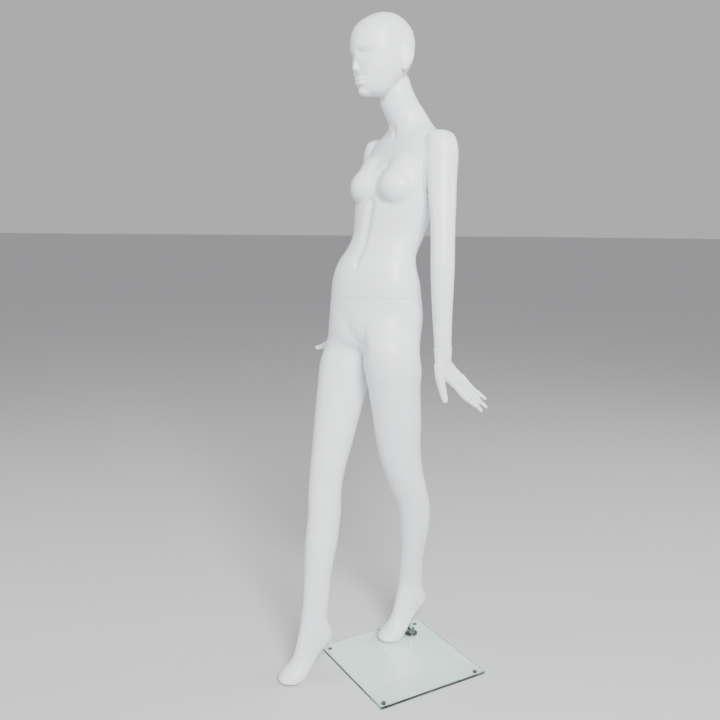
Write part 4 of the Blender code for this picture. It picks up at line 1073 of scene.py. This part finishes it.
class MANNEQUIN_OT_torso_head_arms(MannequinOperator, bpy.types.Operator):
    """Sculpt torso, head and arms as one skin and part it at the waist, shoulders and wrists"""
    bl_idname = "mannequin.torso_head_arms"
    bl_label = "Torso, Head and Arms"

    def execute(self, context):
        figure = context.scene.mannequin_figure
        paint = finish(sprayed_white, figure)
        mesh = shape_trunk(trunk_mesh(figure))
        half = GAP / 2
        bm = opened(mesh)
        for sign in SIDES.values():
            out = CHEST_SIDE * sign
            seam = CHEST_CENTRE + out * (SHOULDER_SEAM - half)
            scored(bm, seam, out, SEAM_REACH)
            wrist = max(bm.verts, key=lambda vert: vert.co.x * sign - 2 * vert.co.z)
            arm = flooded(wrist, lambda vert: (vert.co - seam).dot(out) > ON_SEAM / 2)
            bmesh.ops.delete(bm, geom=list(arm), context="VERTS")
        waist = (*WAIST_CENTRE, WAIST_Z + half)
        cut_off(bm, waist, (0, 0, -1))
        keep_main(bm)
        rim(bm, waist, (0, 0, -1))
        for side, sign in SIDES.items():
            out = CHEST_SIDE * sign
            rim(bm, CHEST_CENTRE + out * (SHOULDER_SEAM - half), out)
        piece(bm, "torso_and_head", "torso", "body_white", ["torso_head_shell"], paint)
        for side, sign in SIDES.items():
            bm = opened(mesh)
            out = CHEST_SIDE * sign
            seam = CHEST_CENTRE + out * (SHOULDER_SEAM + half)
            wrist = wrist_frame(side)
            down = -(wrist.to_3x3() @ Vector((0, 0, 1)))
            place = wrist.to_translation() - down * half
            cut_off(bm, seam, -out)
            cut_off(bm, place, down)
            keep_main(bm)
            rim(bm, seam, -out)
            rim(bm, place, down, bore=PEG_RADIUS + 0.003, deep=PEG_HALF)
            piece(bm, f"{side}_arm", f"{side}_arm", "body_white", [f"{side}_arm_shell"], paint)
        bpy.data.meshes.remove(mesh)
        return {"FINISHED"}


# The hips below the hip bones, drawn in between the thighs.
GROIN = [
    (0.000, 0.027, 0.980, 30, 0, 0.138, 0.075, 0.100, 2.2),
    (0.000, 0.024, 0.950, 30, 0, 0.130, 0.064, 0.096, 2.2),
    (0.000, 0.024, 0.928, 30, 0, 0.098, 0.042, 0.084, 2.2),
    (0.000, 0.024, 0.914, 30, 0, 0.046, 0.018, 0.043, 2.2),
]
# The thighs' upper ends inside the hips.
RIGHT_HIP = [
    (-0.050, 0.022, 1.075, 30, 0, 0.030, 0.034, 0.040, 2.1),
    (-0.057, 0.018, 1.035, 30, 0, 0.052, 0.058, 0.056, 2.1),
    (-0.066, 0.012, 0.995, 30, 0, 0.065, 0.070, 0.066, 2.1),
]
LEFT_HIP = [
    (0.050, 0.034, 1.070, 30, 0, 0.030, 0.030, 0.040, 2.1),
    (0.058, 0.034, 1.030, 30, 0, 0.048, 0.048, 0.056, 2.1),
    (0.067, 0.032, 0.988, 30, 0, 0.060, 0.060, 0.066, 2.1),
]
# The seat: centre, half sizes and turn.
SEAT_FORMS = [
    ((0.030, 0.091, 0.955), (0.066, 0.050, 0.070), 0),
    ((-0.068, 0.036, 0.978), (0.064, 0.050, 0.058), 0),
]


def lower_mesh(figure):
    """Hips, both legs and both feet as one skin that reaches past the waist."""
    bm = bmesh.new()
    add_loft(bm, TORSO[3:1:-1] + PELVIS + GROIN, columns=120)
    add_loft(bm, LEFT_HIP + LEFT_LEG + foot_sections("left"))
    add_loft(bm, RIGHT_HIP + RIGHT_LEG + foot_sections("right"))
    for centre, sizes, turn in SEAT_FORMS:
        add_form(bm, centre, sizes, turn)
    return skinned(bm, "lower", figure.leg_grain)


# The folds between belly and thighs.
RIGHT_GROIN = [(-0.012, -0.061, 1.048), (-0.008, -0.060, 1.016), (0.009, -0.056, 0.974),
               (0.025, -0.046, 0.948), (0.052, -0.038, 0.938)]
LEFT_GROIN = [(0.050, -0.036, 1.010), (0.052, -0.036, 0.975), (0.054, -0.038, 0.938)]
# Soft forms on hips, heels, ankles and knees: centre, reach and height.
LEG_FORMS = [
    ((0.105, 0.100, 0.950), (0.040, 0.045, 0.032), 0.0055),
    ((0.119, 0.098, 1.025), (0.040, 0.050, 0.036), 0.0055),
    ((0.003, -0.104, 0.110), (0.030, 0.030, 0.026), 0.0075),
    ((-0.037, 0.247, 0.122), (0.030, 0.030, 0.026), 0.0075),
    ((0.000, -0.116, 0.200), (0.030, 0.030, 0.060), 0.0060),
    ((-0.030, 0.222, 0.212), (0.030, 0.030, 0.050), 0.0050),
    ((0.033, 0.075, 0.505), (0.022, 0.030, 0.030), 0.0024),
    ((-0.030, -0.150, 0.500), (0.022, 0.030, 0.030), 0.0024),
]


def shape_lower(mesh):
    """Even out the joins of the hips and work groin, knees, calves and feet into them."""
    clay = Clay(mesh)
    heights = clay.points[:, 2]
    foot = 1 / (1 + np.exp((heights - 0.15) / 0.02))
    clay.relax(24, 1 - 0.85 * foot)
    hips = 1 / (1 + np.exp((np.abs(heights - 0.975) - 0.060) / 0.012))
    clay.relax(140, hips)
    clay.crease(RIGHT_GROIN, 0.0210, 0.0055, fade=2.2)
    clay.refresh()
    clay.crease(RIGHT_GROIN[1:], 0.0090, 0.0036, fade=1.6)
    clay.crease(LEFT_GROIN, 0.0100, 0.0034, fade=1.6)
    clay.refresh()
    for centre, reach, height in LEG_FORMS:
        clay.swell(centre, reach, height)
    clay.refresh()
    return mesh


class MANNEQUIN_OT_hips_legs(MannequinOperator, bpy.types.Operator):
    """Sculpt hips and legs as one skin, bore it for the rods and part it at waist and thigh"""
    bl_idname = "mannequin.hips_legs"
    bl_label = "Hips and Legs"

    def execute(self, context):
        figure = context.scene.mannequin_figure
        paint = finish(sprayed_white, figure)
        mesh = shape_lower(lower_mesh(figure))
        bore = TUBE_RADIUS + FIT
        mesh = bored(mesh, "foot_bore", bore, GLASS_HIGH.z, SOCKET_TOP + FIT, ROD_FRAME)
        mesh = bored(mesh, "calf_bore", bore, -CALF_TUBE[1], CALF_TUBE[1], CALF_FRAME)
        half = GAP / 2
        waist = Vector((*WAIST_CENTRE, WAIST_Z - half))
        for name, nodes, body, shift in (
            ("hips_and_left_leg", ["hips_left_leg_shell"], "hips", half),
            ("right_leg", ["right_leg_shell"], "right_leg", -half),
        ):
            bm = opened(mesh)
            seam = THIGH_POINT + THIGH_NORMAL * shift
            scored(bm, seam, THIGH_NORMAL)
            lowest = min(bm.verts, key=lambda vert: vert.co.z)
            leg = flooded(lowest, lambda vert: (vert.co - seam).dot(THIGH_NORMAL) < -ON_SEAM / 2)
            if body == "hips":
                bmesh.ops.delete(bm, geom=list(leg), context="VERTS")
                cut_off(bm, waist, (0, 0, 1))
                keep_main(bm)
                rim(bm, waist, (0, 0, 1))
                rim(bm, seam, -THIGH_NORMAL)
            else:
                ring = {edge.other_vert(vert) for vert in leg for edge in vert.link_edges}
                others = [vert for vert in bm.verts if vert not in leg and vert not in ring]
                bmesh.ops.delete(bm, geom=others, context="VERTS")
                keep_main(bm)
                rim(bm, seam, THIGH_NORMAL)
            piece(bm, name, body, "body_white", nodes, paint)
        bpy.data.meshes.remove(mesh)
        return {"FINISHED"}


# The right thumb, held out level.
TURNED_THUMB = [(-0.001, -0.008, -0.022, 0.0130), (-0.002, -0.024, -0.049, 0.0100),
                (-0.003, -0.042, -0.066, 0.0080), (-0.003, -0.0555, -0.0735, 0.0064)]


def hand_mesh(side, figure):
    frame_of_wrist = wrist_frame(side) @ Matrix.Diagonal((SIDES[side], 1, 1, 1))
    palm = palm_frame(side)
    bm = bmesh.new()
    above = (0.000, 0.000, 0.012, 0, 0, 0.0225, 0.0240, 0.0240, 2.0)
    add_loft(bm, [above] + CUFF, frame_of_wrist, 0.002, 64)
    add_loft(bm, PALM, palm, 0.002, 64)
    digits = {**DIGITS, "thumb": THUMBS[side]}
    for joints in digits.values():
        add_tube(bm, joints, palm)
    return skinned(bm, f"{side}_hand", figure.hand_grain)


HANGING_THUMB = [(-0.001, -0.011, 0.002, 0.0150), (-0.002, -0.0285, -0.028, 0.0125),
                 (-0.003, -0.0395, -0.060, 0.0104), (-0.003, -0.0480, -0.086, 0.0084)]
THUMBS = {"left": HANGING_THUMB, "right": TURNED_THUMB}


def palm_frame(side):
    """The hand's frame past the bend of the wrist, mirrored for the right hand."""
    frame_of_wrist = wrist_frame(side) @ Matrix.Diagonal((SIDES[side], 1, 1, 1))
    bend = Matrix.Rotation(math.radians(HAND_BEND[side]), 4, "X")
    return frame_of_wrist @ Matrix.Translation(PALM_PIVOT) @ bend


def shape_hand(mesh, side):
    """Even out the joins of a hand and groove it between the fingers, front and back."""
    clay = Clay(mesh)
    clay.relax(6)
    palm = palm_frame(side)
    names = ("index", "middle", "ring", "little")
    for first, second in zip(names, names[1:]):
        pairs = list(zip(DIGITS[first], DIGITS[second]))[:3]
        for face in (-0.0062, 0.0062):
            path = [palm @ (Vector((a[0] + b[0], a[1] + b[1], a[2] + b[2])) / 2 + Vector((face, 0, 0)))
                    for a, b in pairs]
            clay.crease([tuple(point) for point in path], 0.0020, 0.0024)
    clay.refresh()


class MANNEQUIN_OT_hands(MannequinOperator, bpy.types.Operator):
    """Sculpt both hands with their cuffs, each open for its peg at the wrist"""
    bl_idname = "mannequin.hands"
    bl_label = "Hands"

    def execute(self, context):
        figure = context.scene.mannequin_figure
        paint = finish(sprayed_white, figure)
        for side in SIDES:
            mesh = hand_mesh(side, figure)
            shape_hand(mesh, side)
            wrist = wrist_frame(side)
            up = wrist.to_3x3() @ Vector((0, 0, 1))
            place = wrist.to_translation() - up * GAP / 2
            bm = opened(mesh)
            cut_off(bm, place, up)
            keep_main(bm)
            rim(bm, place, up, bore=PEG_RADIUS + FIT, deep=PEG_HALF)
            piece(bm, f"{side}_hand_and_cuff", f"{side}_hand_unit", "body_white", [f"{side}_hand"], paint)
            bpy.data.meshes.remove(mesh)
        return {"FINISHED"}


# ------------------------------------------------------------------ fittings inside the seams
def metal(name, body, profile, place, material, slot="zinc_steel", ring=False, columns=48, edge=0.0003):
    """A turned fitting with softened edges that stands for the CAD node of the same name."""
    bm = bmesh.new()
    add_turned(bm, profile, place, ring, columns)
    obj = piece(bm, f"{name}_piece", body, slot, [name], material, sharp=30)
    bevel = obj.modifiers.new("edges", "BEVEL")
    bevel.width = edge
    bevel.segments = 2
    bevel.limit_method = "ANGLE"
    bevel.angle_limit = math.radians(35)
    return obj


def coupling(name, place, lower_body, upper_body, zinc):
    """Spigot, socket, locating pin and four screws of one seam."""
    outer = POST_RADIUS + SOCKET_WALL
    bore = POST_RADIUS + FIT
    neck = POST_RADIUS - 0.0008
    chamfer = 0.002
    under = -PLATE - GAP
    over = PLATE + GAP
    top = POST_HIGH + 0.004
    post = [(0, POST_HIGH), (POST_RADIUS - chamfer, POST_HIGH), (POST_RADIUS, POST_HIGH - chamfer),
            (POST_RADIUS, 0.032), (neck, 0.031), (neck, 0.028),
            (POST_RADIUS, 0.027), (POST_RADIUS, under), (COUPLING_FLANGE, under),
            (COUPLING_FLANGE, under - FLANGE_PLY), (0, under - FLANGE_PLY)]
    metal(f"{name}_spigot", lower_body, post, place, zinc)
    sleeve = [(outer, top), (outer, over + FLANGE_PLY), (COUPLING_FLANGE, over + FLANGE_PLY),
              (COUPLING_FLANGE, over), (outer, over), (outer, GAP), (bore, GAP), (bore, top)]
    metal(f"{name}_socket", upper_body, sleeve, place, zinc, ring=True)
    pin = [(0, PLATE), (PIN_RADIUS, PLATE), (PIN_RADIUS, -PLATE), (0, -PLATE)]
    metal(f"{name}_locating_pin", lower_body, pin, place @ Matrix.Translation((PIN_OFFSET, 0, 0)), zinc,
          columns=32, edge=0.0008)
    face = PLATE + FLANGE_PLY + 2 * GAP
    screw = [(0, face + 0.0010), (0.0013, face + 0.0010, 6), (0.0013, face + 0.0022, 6),
             (0.0030, face + 0.0022), (0.0040, face + 0.0010), (0.0040, face),
             (SCREW_RADIUS, face), (SCREW_RADIUS, 0.003), (0, 0.002)]
    for seat, body in (("lower", lower_body), ("upper", upper_body)):
        turn = Matrix.Rotation(math.pi, 4, "X") if seat == "lower" else Matrix()
        for number, sign in ((1, -1), (2, 1)):
            spot = place @ Matrix.Translation((0, sign * SCREW_OFFSET, 0)) @ turn
            metal(f"{name}_{seat}_screw_{number}", body, screw, spot, zinc, columns=24, edge=0.0001)


class MANNEQUIN_OT_seam_fittings(MannequinOperator, bpy.types.Operator):
    """Turn the spigots, sockets, pins, studs and pegs that join the parts of the figure"""
    bl_idname = "mannequin.seam_fittings"
    bl_label = "Seam Fittings"

    def execute(self, context):
        zinc = finish(bright_zinc)
        coupling("waist", WAIST_FRAME, "hips", "torso", zinc)
        coupling("thigh", THIGH_FRAME, "right_leg", "hips", zinc)
        back = PLATE + 2 * GAP
        head = -PLATE - 0.0012
        stud = [(0, back + FLANGE_PLY), (0.013, back + FLANGE_PLY), (0.013, back), (STUD_RADIUS, back),
                (STUD_RADIUS, head), (STUD_HEAD, head), (STUD_HEAD, head - 0.003), (0, head - 0.003)]
        bore = PEG_RADIUS + FIT
        peg = [(0, PEG_HALF), (PEG_RADIUS, PEG_HALF), (PEG_RADIUS, -PEG_HALF), (0, -PEG_HALF)]
        outer = bore + 0.0022
        end = PEG_HALF + 0.002
        sleeve = [(outer, end), (outer, GAP), (bore, GAP), (bore, end)]
        for side in SIDES:
            arm, hand, wrist = f"{side}_arm", f"{side}_hand_unit", wrist_frame(side)
            metal(f"{side}_arm_lock_stud", arm, stud, shoulder_frame(side), zinc)
            metal(f"{side}_wrist_socket", arm, sleeve, wrist, zinc, ring=True, columns=32)
            metal(f"{side}_hand_peg", hand, peg, wrist, zinc, columns=32, edge=0.0008)
        bore = ROD_RADIUS + 0.0003
        cap = SOCKET_TOP - 0.003
        cup = [(0, SOCKET_TOP), (TUBE_RADIUS, SOCKET_TOP), (TUBE_RADIUS, SOCKET_BOTTOM),
               (bore, SOCKET_BOTTOM), (bore, cap), (0, cap)]
        metal("foot_rod_socket", "hips", cup, ROD_FRAME, zinc)
        low, high = CALF_TUBE
        tube = [(TUBE_RADIUS, high), (TUBE_RADIUS, low), (bore, low), (bore, high)]
        metal("calf_rod_socket", "hips", tube, CALF_FRAME, zinc, ring=True)
        return {"FINISHED"}


class MANNEQUIN_OT_seam_plates(MannequinOperator, bpy.types.Operator):
    """Give the plates that close the seams their plywood and zinc finishes"""
    bl_idname = "mannequin.seam_plates"
    bl_label = "Seam Plates"

    def execute(self, context):
        ply = finish(birch_ply)
        zinc = finish(bright_zinc)
        wooden = ("waist_lower_plate", "waist_upper_plate", "thigh_upper_plate", "thigh_lower_plate",
                  "left_arm_top_plate", "right_arm_top_plate")
        steel = ("left_shoulder_keyhole_plate", "right_shoulder_keyhole_plate")
        for names, material in ((wooden, ply), (steel, zinc)):
            for name in names:
                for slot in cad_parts[name].material_slots:
                    slot.material = material
        return {"FINISHED"}


# ------------------------------------------------------------------ base
class MANNEQUIN_OT_glass_base(MannequinOperator, bpy.types.Operator):
    """Cut the glass sheet with ground edges and a drilled hole, and set its bumpers"""
    bl_idname = "mannequin.glass_base"
    bl_label = "Glass Base"

    def execute(self, context):
        base = context.scene.mannequin_base
        middle = (GLASS_LOW + GLASS_HIGH) / 2
        size = GLASS_HIGH - GLASS_LOW
        bm = bmesh.new()
        bmesh.ops.create_cube(bm, size=1, matrix=Matrix.Translation(middle) @ Matrix.Diagonal((*size, 1)))
        upright = [edge for edge in bm.edges if abs(edge.verts[0].co.z - edge.verts[1].co.z) > 0.001]
        bmesh.ops.bevel(bm, geom=upright, offset=base.corner, segments=6, profile=0.5, affect="EDGES")
        level = [edge for edge in bm.edges if len(edge.link_faces) == 2
                 and any(abs(face.normal.z) > 0.9 for face in edge.link_faces)
                 and any(abs(face.normal.z) < 0.1 for face in edge.link_faces)]
        bmesh.ops.bevel(bm, geom=level, offset=base.edge, segments=3, profile=0.6, affect="EDGES")
        sheet = bpy.data.meshes.new("glass_sheet")
        bm.to_mesh(sheet)
        bm.free()
        sheet = bored(sheet, "bolt_hole", BOLT_RADIUS + FIT, 0.0, 0.03, ROD_FRAME)
        bm = opened(sheet)
        for face in bm.faces:
            face.material_index = 0 if abs(face.normal.z) > 0.99 else 1
        glass, ground = finish(float_glass, base), finish(ground_glass, base)
        piece(bm, "glass_sheet", "base", "clear_glass", ["glass_base"], glass, ground, sharp=30)
        rubber = finish(black_rubber)
        for end in ("front", "back"):
            for side in SIDES:
                name = f"bumper_{end}_{side}"
                low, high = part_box(name)
                radius = (high.x - low.x) / 2
                tall = high.z - low.z
                pad = [(0, tall), (radius * 0.94, tall), (radius, tall * 0.85), (radius, tall * 0.45),
                       (radius * 0.95, tall * 0.2), (radius * 0.84, tall * 0.05), (radius * 0.7, 0), (0, 0)]
                place = Matrix.Translation(((low.x + high.x) / 2, (low.y + high.y) / 2, low.z))
                metal(name, "base", pad, place, rubber, "black_rubber", edge=0.0002)
        return {"FINISHED"}


class MANNEQUIN_OT_rod_and_flange(MannequinOperator, bpy.types.Operator):
    """Turn the support rod, its flange, gasket, set screw, washer and bolt"""
    bl_idname = "mannequin.rod_and_flange"
    bl_label = "Rod and Flange"

    def execute(self, context):
        base = context.scene.mannequin_base
        chrome, zinc, rubber = finish(chrome_plate, base), finish(bright_zinc), finish(black_rubber)
        bolt_bore = BOLT_RADIUS + FIT
        rod_bore = ROD_RADIUS + 0.0003
        seat = FLANGE_SEAT
        floor = seat + 0.0055
        top = seat + BOSS_HIGH
        low = GLASS_HIGH.z + GAP
        gasket = [(BASE_FLANGE_RADIUS, low + 0.001), (BASE_FLANGE_RADIUS, low),
                  (bolt_bore, low), (bolt_bore, low + 0.001)]
        metal("flange_gasket", "base", gasket, ROD_FRAME, rubber, "black_rubber", ring=True, edge=0.0001)
        cove = [(BOSS_RADIUS + 0.0095 * (1 - math.cos(a)), seat + 0.003 + 0.0045 * (1 - math.sin(a)))
                for a in np.linspace(0, math.pi / 2, 9)]
        flange = [(BOSS_RADIUS, top), *cove, (BASE_FLANGE_RADIUS, seat), (bolt_bore, seat),
                  (bolt_bore, floor), (rod_bore, floor), (rod_bore, top)]
        # The flange's chrome is darkened in its colour, a painted reflection of a dark room.
        metal("base_flange", "base", flange, ROD_FRAME, finish(smoked_chrome), "bright_chrome",
              ring=True, columns=96)
        rod = [(0, ROD_HIGH.z), (ROD_RADIUS - 0.001, ROD_HIGH.z), (ROD_RADIUS, ROD_HIGH.z - 0.001),
               (ROD_RADIUS, ROD_LOW.z + 0.0008), (ROD_RADIUS - 0.0008, ROD_LOW.z), (0, ROD_LOW.z)]
        metal("support_rod", "rod", rod, ROD_FRAME, chrome, "bright_chrome", columns=64)
        face = BOSS_RADIUS + 0.001
        screw = [(0, face + 0.0015), (0.0016, face + 0.0015, 6), (0.0016, face + 0.0035, 6),
                 (0.0030, face + 0.0035), (0.0036, face + 0.0028), (0.0036, face),
                 (SCREW_RADIUS, face), (SCREW_RADIUS, ROD_RADIUS + GAP),
                 (0, ROD_RADIUS + GAP)]
        metal("flange_set_screw", "set_screw", screw, SET_SCREW_FRAME, chrome, "bright_chrome",
              columns=36, edge=0.0001)
        washer_low, washer_high = (corner.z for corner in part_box("under_washer"))
        washer = [(WASHER_RADIUS, washer_high), (WASHER_RADIUS, washer_low),
                  (bolt_bore, washer_low), (bolt_bore, washer_high)]
        metal("under_washer", "base", washer, ROD_FRAME, zinc, ring=True, edge=0.0001)
        head = washer_low - GAP
        bolt = [(0, floor - GAP), (BOLT_RADIUS, floor - GAP), (BOLT_RADIUS, head),
                (BOLT_HEAD, head), (BOLT_HEAD, head - 0.0014), (0.0068, head - 0.0022),
                (0.0028, head - 0.0022, 6),
                (0.0028, head - 0.0010, 6), (0, head - 0.0010)]
        metal("base_bolt", "base", bolt, ROD_FRAME, zinc, edge=0.0001)
        return {"FINISHED"}


# ------------------------------------------------------------------ stage
# Round soft lamps: which power, how wide, and where. All of them face the waist.
LAMPS = {
    "key": ("key", 1.6, (3.1, -0.9, 2.8)),
    "fill": ("fill", 2.0, (-1.2, -3.0, 2.2)),
    "back": ("fill", 2.0, (0.8, 3.2, 2.8)),
}
LAMP_TARGET = Vector((0, 0, 1.0))
CAMERA_PLACE = (1.8075, -1.0574, 1.2433)
CAMERA_RIGHT = Vector((0.499, 0.867, 0.009))
CAMERA_AHEAD = Vector((-0.854, 0.493, -0.163))
LENS = 38.24  # millimetres, as the sensor's width
SENSOR = 36
FLOOR_REACH = 400


class MANNEQUIN_OT_studio(MannequinOperator, bpy.types.Operator):
    """Lay the pale floor, hang the soft lamps and set the camera"""
    bl_idname = "mannequin.studio"
    bl_label = "Studio"

    def execute(self, context):
        stage = context.scene.mannequin_stage
        bm = bmesh.new()
        bmesh.ops.create_grid(bm, x_segments=1, y_segments=1, size=FLOOR_REACH)
        mesh = bpy.data.meshes.new("studio_floor")
        bm.to_mesh(mesh)
        bm.free()
        mesh.materials.append(finish(studio_floor, stage))
        shown(mesh, "studio_floor")
        world = bpy.data.worlds.new("studio_surround")
        world.use_nodes = True
        background = world.node_tree.nodes["Background"]
        background.inputs["Color"].default_value = (*stage.sky, 1.0)
        background.inputs["Strength"].default_value = stage.sky_strength
        context.scene.world = world
        for name, (power, width, spot) in LAMPS.items():
            lamp = bpy.data.lights.new(name, "AREA")
            lamp.shape = "DISK"
            lamp.size = width
            lamp.energy = getattr(stage, power)
            obj = bpy.data.objects.new(name, lamp)
            context.scene.collection.objects.link(obj)
            aim = LAMP_TARGET - Vector(spot)
            obj.matrix_world = Matrix.Translation(spot) @ aim.to_track_quat("-Z", "Y").to_matrix().to_4x4()
        camera = bpy.data.cameras.new("camera")
        camera.lens = LENS
        camera.sensor_width = SENSOR
        view = bpy.data.objects.new("camera", camera)
        context.scene.collection.objects.link(view)
        right, ahead = CAMERA_RIGHT.normalized(), CAMERA_AHEAD.normalized()
        up = right.cross(ahead).normalized()
        right = ahead.cross(up)
        turn = Matrix((right, up, -ahead)).transposed().to_4x4()
        view.matrix_world = Matrix.Translation(CAMERA_PLACE) @ turn
        context.scene.camera = view
        return {"FINISHED"}


class MANNEQUIN_PT_maker(bpy.types.Panel):
    """Lists what the add-on builds, in the order in which it is built"""
    bl_idname = "MANNEQUIN_PT_maker"
    bl_label = "Display Mannequin"
    bl_space_type = "VIEW_3D"
    bl_region_type = "UI"
    bl_category = "Mannequin"

    def draw(self, context):
        layout = self.layout
        for title, settings in (("Figure", context.scene.mannequin_figure),
                                ("Base", context.scene.mannequin_base),
                                ("Stage", context.scene.mannequin_stage)):
            box = layout.box()
            box.label(text=title)
            for name in settings.__annotations__:
                box.prop(settings, name)
        for operator in OPERATORS:
            layout.operator(operator.bl_idname)


OPERATORS = (
    MANNEQUIN_OT_torso_head_arms,
    MANNEQUIN_OT_hips_legs,
    MANNEQUIN_OT_hands,
    MANNEQUIN_OT_seam_fittings,
    MANNEQUIN_OT_seam_plates,
    MANNEQUIN_OT_glass_base,
    MANNEQUIN_OT_rod_and_flange,
    MANNEQUIN_OT_studio,
)
SETTINGS = {
    "mannequin_figure": MannequinFigure,
    "mannequin_base": MannequinBase,
    "mannequin_stage": MannequinStage,
}


def register():
    for group in (*SETTINGS.values(), *OPERATORS, MANNEQUIN_PT_maker):
        bpy.utils.register_class(group)
    for name, group in SETTINGS.items():
        setattr(bpy.types.Scene, name, bpy.props.PointerProperty(type=group))


def unregister():
    for name in SETTINGS:
        delattr(bpy.types.Scene, name)
    for group in reversed((*SETTINGS.values(), *OPERATORS, MANNEQUIN_PT_maker)):
        bpy.utils.unregister_class(group)


def main():
    register()
    bpy.ops.mannequin.torso_head_arms()
    bpy.ops.mannequin.hips_legs()
    bpy.ops.mannequin.hands()
    bpy.ops.mannequin.seam_fittings()
    bpy.ops.mannequin.seam_plates()
    bpy.ops.mannequin.glass_base()
    bpy.ops.mannequin.rod_and_flange()
    bpy.ops.mannequin.studio()


if __name__ == "__main__":
    main()
